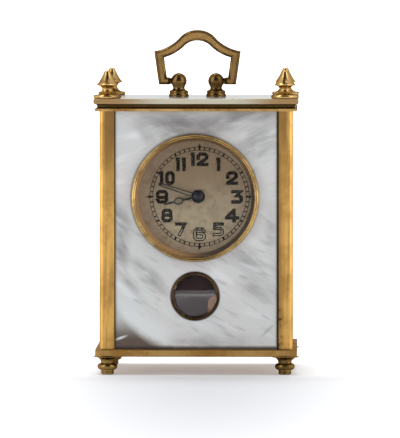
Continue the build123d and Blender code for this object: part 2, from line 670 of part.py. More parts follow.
def handle():
    """A bow-shaped bail with bevelled edges; a pin on each foot turns in a ball lug."""
    outer = scaled(HANDLE_OUTER_SHARES, HANDLE_HALF_WIDTH, HANDLE_RISE)
    inner = scaled(HANDLE_INNER_SHARES, HANDLE_HALF_WIDTH - HANDLE_SHOULDER, HANDLE_RISE - HANDLE_CROWN)
    foot_top = HANDLE_FOOT_HEIGHT / 2
    foot_reach = HANDLE_HALF_WIDTH * HANDLE_FOOT_SHARE
    half = outline(
        (0, HANDLE_RISE),
        (outer[0], outer[1]),
        (outer[2], outer[3]),
        (foot_reach, -foot_top),
        (lug_end(), -foot_top),
        (lug_end(), foot_top),
        (foot_reach - HANDLE_ARM, foot_top),
        inner[3],
        (inner[2], inner[1]),
        (inner[0], (0, HANDLE_RISE - HANDLE_CROWN)),
    )
    flat = half + mirror(half, Plane.YZ)
    core = HANDLE_THICKNESS / 2 - HANDLE_BEVEL
    bevel = extrude(Plane.XZ.offset(core) * flat, amount=HANDLE_BEVEL, taper=45)
    bail = extrude(Plane.XZ * flat, amount=core, both=True) + bevel + mirror(bevel, Plane.XZ)
    length = lug_end() - LUG_SPACING / 2
    for side in (-1, 1):
        pin = Rot(0, 90, 0) * Cylinder(HANDLE_PIN_RADIUS, length)
        bail += Pos(side * (LUG_SPACING / 2 + length / 2), 0, 0) * pin
    return Pos(0, 0, HANDLE_AXLE_Z) * bail


def handle_lug(side):
    """A ball on a turned collar, bored from its outer side, with a stud below."""
    waist = (LUG_NECK_RADIUS * LUG_WAIST_SHARE, (LUG_COLLAR_HEIGHT + LUG_NECK_HEIGHT) / 2)
    collar = outline(
        (0, 0),
        (LUG_COLLAR_RADIUS, 0),
        (LUG_COLLAR_RADIUS, LUG_COLLAR_HEIGHT),
        (waist, (LUG_NECK_RADIUS, LUG_NECK_HEIGHT)),
        (LUG_NECK_RADIUS, LUG_RISE),
        (0, LUG_RISE),
    )
    lug = turned_upright(collar) + Pos(0, 0, LUG_RISE) * Sphere(LUG_BALL_RADIUS)
    length = SLAB_THICKNESS + TOP_THICKNESS + LUG_NUT_HEIGHT
    lug += Pos(0, 0, -length / 2) * Cylinder(LUG_STUD_RADIUS, length)
    bore = Rot(0, 90, 0) * Cylinder(HANDLE_PIN_RADIUS + RUN, 2 * (LUG_BALL_RADIUS + RUN))
    lug -= Pos(side * LUG_BALL_RADIUS, 0, LUG_RISE) * bore
    return Pos(side * LUG_SPACING / 2, 0, SLAB_TOP) * lug


def lug_nut(side):
    nut = RegularPolygon(LUG_NUT_RADIUS, 6) - Circle(LUG_STUD_RADIUS + FIT)
    return Pos(side * LUG_SPACING / 2, 0, POST_TOP) * extrude(nut, amount=-LUG_NUT_HEIGHT)


# Rear door


def door_height():
    return POST_HEIGHT - 2 * DOOR_GAP


def door_frame():
    """A brass frame whose hinge edge is round, with a rebate for the pane on its inner side."""
    middle_z = BASE_TOP + POST_HEIGHT / 2
    width = DOOR_HALF_WIDTH + DOOR_PIVOT_X
    plan = Pos(DOOR_PIVOT_X - width / 2, 0) * Rectangle(width, DOOR_THICKNESS)
    plan += Pos(DOOR_PIVOT_X, 0) * Circle(DOOR_THICKNESS / 2)
    frame = Pos(0, DOOR_Y, middle_z - door_height() / 2) * extrude(plan, amount=door_height())
    opening_width = 2 * (DOOR_HALF_WIDTH - DOOR_BORDER)
    opening_height = door_height() - 2 * DOOR_BORDER
    frame -= Pos(0, DOOR_Y, middle_z) * Box(opening_width, DOOR_THICKNESS + OVERRUN, opening_height)
    rebate = Box(
        opening_width + 2 * DOOR_PANE_LAP + 2 * DOOR_PANE_PLAY,
        2 * DOOR_PANE_THICKNESS,
        opening_height + 2 * DOOR_PANE_LAP + 2 * DOOR_PANE_PLAY,
    )
    frame -= Pos(0, DOOR_Y - DOOR_THICKNESS / 2, middle_z) * rebate
    for side in (-1, 1):
        hole = Cylinder(DOOR_PIVOT_RADIUS + FIT, 2 * DOOR_PIVOT_IN_DOOR)
        frame -= Pos(DOOR_PIVOT_X, DOOR_Y, middle_z + side * door_height() / 2) * hole
    shank = Rot(90, 0, 0) * Cylinder(DOOR_KNOB_SHANK + FIT, 2 * DOOR_THICKNESS)
    return frame - Pos(-DOOR_HALF_WIDTH + DOOR_BORDER / 2, DOOR_Y, middle_z) * shank


def door_glass():
    width = 2 * (DOOR_HALF_WIDTH - DOOR_BORDER + DOOR_PANE_LAP)
    height = door_height() - 2 * DOOR_BORDER + 2 * DOOR_PANE_LAP
    middle_y = DOOR_Y - DOOR_THICKNESS / 2 + DOOR_PANE_THICKNESS / 2
    return Pos(0, middle_y, BASE_TOP + POST_HEIGHT / 2) * Box(width, DOOR_PANE_THICKNESS, height)


def door_pivot(side):
    """A steel pin fixed in the door that turns in a hole of a case plate."""
    length = DOOR_PIVOT_IN_DOOR + DOOR_GAP + DOOR_PIVOT_IN_PLATE - RUN
    start = POST_HEIGHT / 2 - DOOR_GAP - DOOR_PIVOT_IN_DOOR
    middle_z = BASE_TOP + POST_HEIGHT / 2 + side * (start + length / 2)
    return Pos(DOOR_PIVOT_X, DOOR_Y, middle_z) * Cylinder(DOOR_PIVOT_RADIUS, length)


def door_knob():
    base, waist, belly, crown = scaled(DOOR_KNOB_SHARES, DOOR_KNOB_RADIUS, DOOR_KNOB_LENGTH)
    face = outline(
        (0, -DOOR_THICKNESS),
        (DOOR_KNOB_SHANK, -DOOR_THICKNESS),
        (DOOR_KNOB_SHANK, 0),
        base,
        waist,
        (belly, crown),
        (0, DOOR_KNOB_LENGTH),
    )
    knob = Rot(-90, 0, 0) * turned_upright(face)
    x = -DOOR_HALF_WIDTH + DOOR_BORDER / 2
    return Pos(x, DOOR_Y + DOOR_THICKNESS / 2, BASE_TOP + POST_HEIGHT / 2) * knob


# Bezel, crystal, housing and dial


def bezel():
    """A slim ring with a rounded front edge and a lip that holds the crystal."""
    bore = TUBE_RADIUS + FIT
    face = outline(
        (bore, 0),
        (BEZEL_RADIUS, 0),
        (BEZEL_RADIUS, -BEZEL_HEIGHT + BEZEL_EDGE),
        (BEZEL_RADIUS - BEZEL_EDGE, -BEZEL_HEIGHT),
        (bore - BEZEL_LIP, -BEZEL_HEIGHT),
        (bore - BEZEL_LIP, -BEZEL_HEIGHT + BEZEL_LIP_THICKNESS),
        (bore, -BEZEL_HEIGHT + BEZEL_LIP_THICKNESS),
    )
    return turned_facing(face, BEZEL_AT)


def dome_shoulder(radius, rise):
    """How high a dome still stands halfway between its middle and its edge."""
    curve = (radius**2 + rise**2) / (2 * rise)
    return rise - curve + sqrt(curve**2 - (radius / 2) ** 2)


def domed_glass(radius, edge, rise, back):
    """The outline of a glass of even thickness that swells forward in the middle."""
    front = back - edge
    shoulder = dome_shoulder(radius, rise)
    return outline(
        (0, back - rise),
        ((radius / 2, back - shoulder), (radius, back)),
        (radius, front),
        ((radius / 2, front - shoulder), (0, front - rise)),
    )


def crystal():
    face = domed_glass(TUBE_RADIUS - FIT, CRYSTAL_EDGE - FIT, CRYSTAL_RISE, TUBE_FRONT)
    lip = TUBE_RADIUS - BEZEL_LIP - FIT
    keep = Pos(lip / 2, TUBE_FRONT) * Rectangle(lip, 2 * (CRYSTAL_RISE + 2 * CRYSTAL_EDGE))
    rim = Pos(TUBE_RADIUS / 2, TUBE_FRONT - CRYSTAL_EDGE / 2) * Rectangle(TUBE_RADIUS, CRYSTAL_EDGE - FIT)
    return turned_facing(face & (keep + rim), BEZEL_AT)


def dial_housing():
    """A flanged tube through the panel, with three bosses that carry the movement."""
    back = DIAL_DEPTH - 2 * DIAL_GAP
    flange_back = PANEL_THICKNESS + HOUSING_FLANGE
    body = tube(TUBE_RADIUS, TUBE_RADIUS - HOUSING_WALL, TUBE_FRONT, back, BEZEL_AT)
    body += tube(HOUSING_FLANGE_RADIUS, TUBE_RADIUS - HOUSING_WALL, PANEL_THICKNESS, flange_back, BEZEL_AT)
    for place in BOSS_PLACES:
        body += rod(BOSS_RADIUS, flange_back, FRONT_PLATE_FRONT, place)
        depth = SCREW_LENGTH - PLATE_THICKNESS
        body -= rod(SCREW_RADIUS + FIT, FRONT_PLATE_FRONT - depth - FIT, FRONT_PLATE_FRONT, place)
    return body


def rehaut_ring():
    """The sloping brass ring between the crystal and the dial."""
    outer = TUBE_RADIUS - HOUSING_WALL - FIT
    back = DIAL_DEPTH - DIAL_GAP
    face = outline(
        (outer - REHAUT_LIP, TUBE_FRONT + FIT),
        (outer, TUBE_FRONT + FIT),
        (outer, back),
        (REHAUT_OPENING, back),
    )
    return turned_facing(face, BEZEL_AT)


def dial():
    """The dial plate, with two feet that stand in the front plate."""
    plate = tube(DIAL_RADIUS, DIAL_HOLE, DIAL_DEPTH, DIAL_BACK, CENTER_AT)
    for place in DIAL_FOOT_PLACES:
        plate += rod(DIAL_FOOT_RADIUS, DIAL_BACK, FRONT_PLATE_FRONT + DIAL_FOOT_IN_PLATE, place)
    return plate


# Hands; their angles run clockwise from twelve


def hand(sketch, depth, angle):
    return layer(Rot(0, 0, -angle) * sketch, depth, depth + HAND_THICKNESS, CENTER_AT)


def hour_hand():
    """An open pear hand on a slim stem."""
    stem = Pos(0, HOUR_HAND_LENGTH / 2) * Rectangle(HOUR_HAND_STEM, HOUR_HAND_LENGTH)
    eye = Pos(0, HOUR_HAND_EYE_AT) * Ellipse(HOUR_HAND_EYE_WIDTH / 2, HOUR_HAND_EYE_LENGTH / 2)
    hole = Pos(0, HOUR_HAND_EYE_AT) * Ellipse(
        HOUR_HAND_EYE_WIDTH / 2 - HOUR_HAND_EYE_WALL, HOUR_HAND_EYE_LENGTH / 2 - HOUR_HAND_EYE_WALL
    )
    shape = stem + eye + Circle(HOUR_HAND_BOSS) - hole - Circle(hour_pipe_radius() + FIT)
    return hand(shape, HOUR_HAND_DEPTH, HOUR_HAND_ANGLE)


def tapered_bar(root, tip, start, end):
    return outline((root / 2, start), (tip / 2, end), (-tip / 2, end), (-root / 2, start))


def minute_hand():
    """An open hand: two rails that draw together towards the tip."""
    bar = tapered_bar(MINUTE_HAND_ROOT, MINUTE_HAND_TIP, 0, MINUTE_HAND_LENGTH)
    rails = 2 * MINUTE_HAND_WALL
    slot_end = MINUTE_HAND_LENGTH - rails
    slot = tapered_bar(MINUTE_HAND_ROOT - rails, MINUTE_HAND_TIP - rails, MINUTE_HAND_BOSS, slot_end)
    shape = bar - slot + Circle(MINUTE_HAND_BOSS) - Circle(CANNON_PIPE_RADIUS + FIT)
    return hand(shape, MINUTE_HAND_DEPTH, MINUTE_HAND_ANGLE)


def hand_cap():
    """The domed nut that holds the minute hand on the center arbor."""
    shoulder = dome_shoulder(HAND_CAP_RADIUS, HAND_CAP_HEIGHT)
    face = outline(
        (0, HAND_CAP_BACK),
        (HAND_CAP_RADIUS, HAND_CAP_BACK),
        ((HAND_CAP_RADIUS / 2, HAND_CAP_BACK - shoulder), (0, HAND_CAP_FRONT)),
    )
    bore = rod(CENTER_ARBOR_RADIUS + FIT, HAND_CAP_BACK - HAND_CAP_HEIGHT / 2, HAND_CAP_BACK, CENTER_AT)
    return turned_facing(face, CENTER_AT) - bore


# Small round window


def window_rim():
    """A thin eyelet pressed into the panel."""
    bore = WINDOW_TUBE_RADIUS - WINDOW_TUBE_WALL
    face = outline(
        (bore, -WINDOW_FLANGE),
        (WINDOW_RADIUS - WINDOW_FLANGE / 2, -WINDOW_FLANGE),
        (WINDOW_RADIUS, 0),
        (WINDOW_TUBE_RADIUS, 0),
        (WINDOW_TUBE_RADIUS, WINDOW_TUBE_LENGTH),
        (bore, WINDOW_TUBE_LENGTH),
    )
    return turned_facing(face, WINDOW_AT)


def window_bore():
    return WINDOW_TUBE_RADIUS - WINDOW_TUBE_WALL - FIT


def window_glass_back():
    return WINDOW_GLASS_DEPTH + WINDOW_GLASS_EDGE


def window_glass():
    face = domed_glass(window_bore(), WINDOW_GLASS_EDGE, WINDOW_GLASS_RISE, window_glass_back())
    return turned_facing(face, WINDOW_AT)


def window_lining():
    """The dark lining behind the glass, torn at its lower right edge."""
    front = window_glass_back() + WINDOW_GAP
    tear = radians(WINDOW_TEAR_ANGLE)
    tear_at = (WINDOW_TEAR_AT * cos(tear), WINDOW_TEAR_AT * sin(tear))
    face = Circle(window_bore()) - Pos(*tear_at) * Circle(WINDOW_TEAR_RADIUS)
    return layer(face, front, front + WINDOW_LINING_THICKNESS, WINDOW_AT)


def window_card():
    front = window_glass_back() + WINDOW_GAP + WINDOW_LINING_THICKNESS
    return rod(window_bore(), front, front + WINDOW_CARD_THICKNESS, WINDOW_AT)


# Movement frame


def screw(front, back, at):
    """A slotted screw: the shank runs forward from the head's seat, the head stands behind it."""
    body = rod(SCREW_RADIUS, front, back, at) + rod(SCREW_HEAD_RADIUS, back, back + SCREW_HEAD, at)
    slot = Rectangle(2 * SCREW_HEAD_RADIUS + OVERRUN, SCREW_SLOT_WIDTH)
    head = back + SCREW_HEAD
    return body - layer(slot, head - SCREW_SLOT_DEPTH, head + OVERRUN, at)


def cock_screw_seat():
    return MOVEMENT_BACK + PLATE_THICKNESS


def movement_screws():
    """Nine alike screws: four in the pillars, three in the housing, one in the cock, one in the click."""
    screws = [screw(MOVEMENT_BACK - SCREW_LENGTH, MOVEMENT_BACK, place) for place in PILLAR_PLACES]
    screws += [screw(TRAIN_FRONT - SCREW_LENGTH, TRAIN_FRONT, place) for place in BOSS_PLACES]
    screws.append(screw(cock_screw_seat() - SCREW_LENGTH, cock_screw_seat(), COCK_FOOT_AT))
    screws.append(screw(RATCHET_BACK - SCREW_LENGTH, RATCHET_BACK, CLICK_AT))
    return group(screws)


def movement_pillars():
    """Four pillars, riveted in the front plate and tapped for the back plate's screws."""
    pillars = []
    for place in PILLAR_PLACES:
        pillar = rod(PILLAR_RADIUS, TRAIN_FRONT, BACK_PLATE_FRONT, place)
        pillar += rod(PILLAR_SPIGOT_RADIUS, FRONT_PLATE_FRONT, TRAIN_FRONT, place)
        depth = SCREW_LENGTH - PLATE_THICKNESS + FIT
        pillars.append(pillar - rod(SCREW_RADIUS + FIT, BACK_PLATE_FRONT - depth, BACK_PLATE_FRONT, place))
    return group(pillars)


def drilled(plate, front, back, holes):
    for at, radius in holes:
        plate -= rod(radius, front - OVERRUN, back + OVERRUN, at)
    return plate


def train_holes():
    return [(at, ARBOR_RADIUS + RUN) for at in (THIRD_AT, FOURTH_AT, ESCAPE_AT)] + [
        (PALLET_AT, PALLET_ARBOR_RADIUS + RUN),
        (CENTER_AT, CENTER_ARBOR_RADIUS + RUN),
    ]


def front_plate():
    """The dial-side plate, with the post that the minute wheel turns on."""
    plate = rod(PLATE_RADIUS, FRONT_PLATE_FRONT, TRAIN_FRONT, CENTER_AT)
    holes = train_holes() + [(BARREL_AT, BARREL_PIVOT_RADIUS + RUN), (BALANCE_AT, STAFF_PIVOT_RADIUS + RUN)]
    holes += [(place, PILLAR_SPIGOT_RADIUS + FIT) for place in PILLAR_PLACES]
    holes += [(place, SCREW_RADIUS + FIT) for place in BOSS_PLACES]
    plate = drilled(plate, FRONT_PLATE_FRONT, TRAIN_FRONT, holes)
    for place in DIAL_FOOT_PLACES:
        depth = DIAL_FOOT_IN_PLATE + FIT
        plate -= rod(DIAL_FOOT_RADIUS + FIT, FRONT_PLATE_FRONT - OVERRUN, FRONT_PLATE_FRONT + depth, place)
    return plate + rod(MINUTE_POST_RADIUS, HOUR_WHEEL_FRONT, FRONT_PLATE_FRONT, MINUTE_WHEEL_AT)


def back_plate():
    """The rear plate, which carries the balance cock, the ratchet and the click."""
    plate = rod(PLATE_RADIUS, BACK_PLATE_FRONT, MOVEMENT_BACK, CENTER_AT)
    holes = train_holes() + [(BARREL_AT, BARREL_ARBOR_RADIUS + RUN), (BALANCE_AT, STAFF_HOLE)]
    holes += [(place, SCREW_RADIUS + FIT) for place in PILLAR_PLACES + [COCK_FOOT_AT, CLICK_AT]]
    holes.append((click_spring_pin_at(), CLICK_SPRING_PIN_RADIUS + FIT))
    return drilled(plate, BACK_PLATE_FRONT, MOVEMENT_BACK, holes)


# Barrel and winding work


def barrel():
    """The toothed drum that holds the mainspring, open at the back for its cover."""
    face = wheel_gear(BARREL_TEETH, BARREL_MODULE, BARREL_DIRECTION - 180)
    drum = layer(face, BARREL_FRONT, BARREL_FRONT + BARREL_RIM_THICKNESS, BARREL_AT)
    drum += rod(barrel_bore() + BARREL_WALL, BARREL_FRONT, BARREL_BACK, BARREL_AT)
    drum -= rod(barrel_bore(), BARREL_FRONT + BARREL_FLOOR, BARREL_BACK + OVERRUN, BARREL_AT)
    return drum - rod(BARREL_PIVOT_RADIUS + RUN, BARREL_FRONT - OVERRUN, BARREL_BACK, BARREL_AT)


def barrel_bore():
    root = WHEEL_TOOTH_SHARES[0][0] * BARREL_MODULE
    return pitch_radius(BARREL_TEETH, BARREL_MODULE) + root - BARREL_WALL


def barrel_cover():
    bore = BARREL_ARBOR_RADIUS + RUN
    return tube(barrel_bore() - FIT, bore, BARREL_BACK - BARREL_COVER, BARREL_BACK, BARREL_AT)


def mainspring():
    front = BARREL_FRONT + BARREL_FLOOR + MAINSPRING_PLAY
    back = BARREL_BACK - BARREL_COVER - MAINSPRING_PLAY
    start = BARREL_CORE_RADIUS + MAINSPRING_THICKNESS / 2 + FIT + MAINSPRING_PITCH / 4
    face = spiral(start, MAINSPRING_PITCH, MAINSPRING_HALF_TURNS, MAINSPRING_THICKNESS)
    return layer(face, front, back, BARREL_AT)


def barrel_arbor():
    """The winding arbor: front pivot, core inside the drum, and a square for ratchet and key."""
    core_front = BARREL_FRONT + BARREL_FLOOR + BARREL_SHAKE
    core_back = BARREL_BACK - BARREL_COVER - BARREL_SHAKE
    arbor = rod(BARREL_PIVOT_RADIUS, FRONT_PLATE_FRONT, core_front, BARREL_AT)
    arbor += rod(BARREL_CORE_RADIUS, core_front, core_back, BARREL_AT)
    arbor += rod(BARREL_ARBOR_RADIUS, core_back, MOVEMENT_BACK, BARREL_AT)
    square = Rectangle(SQUARE_SIDE, SQUARE_SIDE)
    return arbor + layer(square, MOVEMENT_BACK, KEY_FRONT + KEY_HUB_LENGTH / 2, BARREL_AT)


def square_hole():
    return Rectangle(SQUARE_SIDE + 2 * FIT, SQUARE_SIDE + 2 * FIT)


def ratchet_wheel():
    """Saw teeth: a radial face, then a slope down to the next tooth's root."""
    points = []
    for tooth in range(RATCHET_TEETH):
        angle = CLICK_ANGLE + tooth * RATCHET_PITCH
        points += [beside((0, 0), RATCHET_ROOT, angle), beside((0, 0), RATCHET_RADIUS, angle)]
    face = make_face(Polyline(*points, close=True)) - square_hole()
    return layer(face, RATCHET_FRONT, RATCHET_BACK, BARREL_AT)


def click():
    """The pawl: its tip stands in a ratchet notch and its boss turns on a shouldered screw."""

    def from_barrel(radius, angle):
        at = beside(BARREL_AT, radius, angle)
        return (at[0] - CLICK_AT[0], at[1] - CLICK_AT[1])

    play = degrees(CLICK_CLEARANCE / RATCHET_ROOT)
    tip = from_barrel(RATCHET_ROOT + 2 * CLICK_CLEARANCE, CLICK_ANGLE - play)
    heel = from_barrel(RATCHET_RADIUS + 2 * CLICK_CLEARANCE, CLICK_ANGLE - RATCHET_PITCH)
    brow = from_barrel(RATCHET_RADIUS + CLICK_TIP_WIDTH, CLICK_ANGLE - play)
    across = radians(CLICK_ANGLE)
    near = (-CLICK_BOSS_RADIUS * cos(across) / 2, -CLICK_BOSS_RADIUS * sin(across) / 2)
    far = (CLICK_BOSS_RADIUS * cos(across), CLICK_BOSS_RADIUS * sin(across))
    arm = outline(tip, heel, near, far, brow)
    face = arm + Circle(CLICK_BOSS_RADIUS) - Circle(SCREW_RADIUS + RUN)
    return layer(face, RATCHET_FRONT, RATCHET_BACK, CLICK_AT)


def click_spring_pin_at():
    back = beside(CLICK_AT, CLICK_BOSS_RADIUS + CLICK_SPRING_GAP + CLICK_SPRING_THICKNESS / 2, CLICK_ANGLE)
    return beside(back, CLICK_SPRING_LENGTH, CLICK_ANGLE - 90)


def click_spring():
    """A leaf that bears on the click from outside, riveted to the back plate by its pin."""
    offset = CLICK_BOSS_RADIUS + CLICK_SPRING_GAP + CLICK_SPRING_THICKNESS / 2
    free_end = beside(beside(CLICK_AT, offset, CLICK_ANGLE), CLICK_SPRING_BEND, CLICK_ANGLE + 90)
    pin = click_spring_pin_at()
    leaf = strut(free_end, pin, CLICK_SPRING_THICKNESS) + Pos(*pin) * Circle(CLICK_SPRING_PIN_RADIUS)
    spring = layer(leaf, RATCHET_FRONT, RATCHET_BACK)
    return spring + rod(CLICK_SPRING_PIN_RADIUS, BACK_PLATE_FRONT, RATCHET_FRONT, pin)


def winding_key():
    """A two-winged key on the barrel arbor's square."""
    hub_back = KEY_FRONT + KEY_HUB_LENGTH
    key = rod(KEY_HUB_RADIUS, KEY_FRONT, hub_back, BARREL_AT)
    lobe = KEY_WING_REACH - KEY_WING_RADIUS
    wing_middle = PANEL_FRONT_Y + hub_back + KEY_WING_RISE - KEY_WING_RADIUS
    wings = strut((-lobe, 0), (lobe, 0), 2 * KEY_WING_RADIUS)
    blade = extrude(wings, amount=KEY_WING_THICKNESS / 2, both=True)
    key += Pos(BARREL_AT[0], wing_middle, BARREL_AT[1]) * blade
    return key - layer(square_hole(), KEY_FRONT - OVERRUN, KEY_FRONT + KEY_HUB_LENGTH / 2 + FIT, BARREL_AT)


# Going train


def train_arbor(at, pinion, driver_gap, seat_gap):
    """A steel arbor with its pinion cut in one piece, level with its driver, and a seat for its wheel."""
    arbor = rod(ARBOR_RADIUS, FRONT_PLATE_FRONT, MOVEMENT_BACK, at)
    driver_front = TRAIN_FRONT + driver_gap
    driver_back = driver_front + WHEEL_THICKNESS
    arbor += layer(pinion, driver_front - PINION_OVERLAP, driver_back + PINION_OVERLAP, at)
    seat_front = TRAIN_FRONT + seat_gap
    return arbor + rod(SEAT_RADIUS, seat_front, seat_front + WHEEL_THICKNESS, at)


def third_arbor():
    leaves = pinion_gear(THIRD_PINION_LEAVES, CENTER_MODULE, THIRD_DIRECTION)
    return train_arbor(THIRD_AT, leaves, CENTER_WHEEL_GAP, THIRD_WHEEL_GAP)


def fourth_arbor():
    leaves = pinion_gear(FOURTH_PINION_LEAVES, THIRD_MODULE, FOURTH_DIRECTION)
    return train_arbor(FOURTH_AT, leaves, THIRD_WHEEL_GAP, FOURTH_WHEEL_GAP)


def escape_arbor():
    leaves = pinion_gear(ESCAPE_PINION_LEAVES, FOURTH_MODULE, ESCAPE_DIRECTION)
    return train_arbor(ESCAPE_AT, leaves, FOURTH_WHEEL_GAP, ESCAPE_WHEEL_GAP)


def third_wheel():
    direction = FOURTH_DIRECTION
    return spoked_wheel(THIRD_AT, THIRD_TEETH, THIRD_MODULE, direction, SEAT_RADIUS, THIRD_WHEEL_GAP)


def fourth_wheel():
    direction = ESCAPE_DIRECTION
    return spoked_wheel(FOURTH_AT, FOURTH_TEETH, FOURTH_MODULE, direction, SEAT_RADIUS, FOURTH_WHEEL_GAP)


def center_wheel():
    seat = CENTER_SEAT_RADIUS
    return spoked_wheel(CENTER_AT, CENTER_TEETH, CENTER_MODULE, THIRD_DIRECTION, seat, CENTER_WHEEL_GAP)


def center_pinion():
    """A hollow pinion that carries the center wheel and slips on the center arbor."""
    leaves = pinion_gear(CENTER_PINION_LEAVES, BARREL_MODULE, BARREL_DIRECTION - 180)
    front = BARREL_FRONT - PINION_OVERLAP
    back = BARREL_FRONT + BARREL_RIM_THICKNESS + PINION_OVERLAP
    pinion = layer(leaves, front, back, CENTER_AT)
    pinion += rod(CENTER_SEAT_RADIUS, back, TRAIN_FRONT + CENTER_WHEEL_GAP + WHEEL_THICKNESS, CENTER_AT)
    return pinion - rod(CENTER_ARBOR_RADIUS + RUN, front - OVERRUN, MOVEMENT_BACK, CENTER_AT)


def center_arbor():
    return rod(CENTER_ARBOR_RADIUS, HAND_CAP_BACK - HAND_CAP_HEIGHT / 2 + FIT, KNOB_BACK, CENTER_AT)


def escape_wheel():
    """Fifteen pointed teeth that lean forward."""
    step = 360 / ESCAPE_TEETH
    points = []
    for tooth in range(ESCAPE_TEETH):
        angle = tooth * step
        lean = angle + step * ESCAPE_LEAN_SHARE
        points += [
            beside((0, 0), ESCAPE_ROOT_RADIUS, angle),
            beside((0, 0), ESCAPE_TIP_RADIUS, lean),
            beside((0, 0), ESCAPE_TIP_RADIUS, lean + step * ESCAPE_TIP_SHARE),
            beside((0, 0), ESCAPE_ROOT_RADIUS, lean + step * ESCAPE_TIP_SHARE),
        ]
    face = make_face(Polyline(*points, close=True)) - Circle(SEAT_RADIUS + FIT)
    front = TRAIN_FRONT + ESCAPE_WHEEL_GAP
    return layer(face, front, front + WHEEL_THICKNESS, ESCAPE_AT)


# Escapement and balance


def pallet_fork():
    """The lever: two pallet stones over the escape wheel and a fork towards the balance."""

    def from_escape(radius, angle):
        at = beside(ESCAPE_AT, radius, angle)
        return (at[0] - PALLET_AT[0], at[1] - PALLET_AT[1])

    face = Circle(PALLET_HUB_RADIUS)
    reach = ESCAPE_TIP_RADIUS + PALLET_CLEARANCE + PALLET_STONE_LENGTH / 2
    for side in (-1, 1):
        angle = PALLET_DIRECTION + side * PALLET_SPREAD
        stone = Rot(0, 0, angle) * Rectangle(PALLET_STONE_LENGTH, PALLET_STONE_WIDTH)
        face += Pos(*from_escape(reach, angle)) * stone
        face += strut((0, 0), from_escape(reach + PALLET_ARM_WIDTH / 2, angle), PALLET_ARM_WIDTH)
    end = beside((0, 0), FORK_LENGTH, BALANCE_DIRECTION)
    face += strut((0, 0), end, PALLET_ARM_WIDTH)
    horns = Rectangle(FORK_HORN, 2 * FORK_HORN) - Pos(FORK_HORN / 2, 0) * Rectangle(FORK_HORN, FORK_SLOT)
    face += Pos(*end) * Rot(0, 0, BALANCE_DIRECTION) * horns
    front = TRAIN_FRONT + ESCAPE_WHEEL_GAP
    lever = layer(face, front, front + WHEEL_THICKNESS, PALLET_AT)
    return lever + rod(PALLET_ARBOR_RADIUS, FRONT_PLATE_FRONT, MOVEMENT_BACK, PALLET_AT)


def balance_wheel():
    face = Circle(BALANCE_RADIUS) - Circle(STAFF_RADIUS + FIT)
    face -= crossings(BALANCE_RADIUS - BALANCE_RIM, BALANCE_HUB_RADIUS, BALANCE_SPOKES, BALANCE_RIM)
    return layer(face, BALANCE_FRONT, BALANCE_FRONT + BALANCE_THICKNESS, BALANCE_AT)


def balance_staff():
    """The staff with the roller and impulse pin that the lever drives."""
    staff = rod(STAFF_RADIUS, TRAIN_FRONT + RUN, COCK_FRONT - RUN, BALANCE_AT)
    staff += rod(STAFF_PIVOT_RADIUS, FRONT_PLATE_FRONT, COCK_FRONT + COCK_THICKNESS / 2, BALANCE_AT)
    roller_front = TRAIN_FRONT + ESCAPE_WHEEL_GAP + WHEEL_THICKNESS + 2 * ROLLER_GAP
    staff += rod(ROLLER_RADIUS, roller_front, roller_front + ROLLER_THICKNESS, BALANCE_AT)
    pin_at = beside(BALANCE_AT, IMPULSE_PIN_AT, BALANCE_DIRECTION + 180)
    return staff + rod(IMPULSE_PIN_RADIUS, roller_front - ROLLER_GAP, roller_front, pin_at)


def hairspring():
    face = spiral(HAIRSPRING_START, HAIRSPRING_PITCH, HAIRSPRING_HALF_TURNS, HAIRSPRING_THICKNESS)
    return layer(face, HAIRSPRING_FRONT, HAIRSPRING_FRONT + HAIRSPRING_HEIGHT, BALANCE_AT)


def balance_cock():
    """The bridge that carries the balance's rear pivot and the regulator."""
    arm = strut(COCK_FOOT_AT, BALANCE_AT, COCK_WIDTH) + Pos(*COCK_FOOT_AT) * Circle(COCK_FOOT_RADIUS)
    cock = layer(arm, COCK_FRONT, COCK_BACK)
    cock += rod(COCK_FOOT_RADIUS, MOVEMENT_BACK, COCK_BACK, COCK_FOOT_AT)
    cock += rod(COCK_BOSS_RADIUS, COCK_BACK, COCK_BACK + COCK_BOSS_HEIGHT, BALANCE_AT)
    pivot_end = COCK_FRONT + COCK_THICKNESS / 2 + RUN
    cock -= rod(STAFF_PIVOT_RADIUS + RUN, COCK_FRONT - OVERRUN, pivot_end, BALANCE_AT)
    cock -= rod(SCREW_RADIUS + FIT, MOVEMENT_BACK - OVERRUN, COCK_BACK, COCK_FOOT_AT)
    return cock - rod(SCREW_HEAD_RADIUS + RUN, cock_screw_seat(), COCK_BACK + OVERRUN, COCK_FOOT_AT)


def regulator():
    """The index that turns with friction on the cock's boss."""
    bore = COCK_BOSS_RADIUS + RUN
    end = beside((0, 0), REGULATOR_LENGTH, REGULATOR_DIRECTION)
    face = Circle(bore + REGULATOR_RING) + strut((0, 0), end, REGULATOR_WIDTH) - Circle(bore)
    return layer(face, COCK_BACK, COCK_BACK + REGULATOR_THICKNESS, BALANCE_AT)


# Motion work and setting


def cannon_pinion():
    """The pinion and pipe on the center arbor that carry the minute hand."""
    leaves = pinion_gear(CANNON_LEAVES, CANNON_MODULE, MINUTE_WHEEL_DIRECTION - 180)
    pinion = layer(leaves, MINUTE_WHEEL_FRONT - PINION_OVERLAP / 2, FRONT_PLATE_FRONT - RUN, CENTER_AT)
    pinion += rod(CANNON_PIPE_RADIUS, HAND_CAP_BACK + FIT, MINUTE_WHEEL_FRONT, CENTER_AT)
    return pinion - rod(CENTER_ARBOR_RADIUS + FIT, HAND_CAP_FRONT, FRONT_PLATE_FRONT, CENTER_AT)


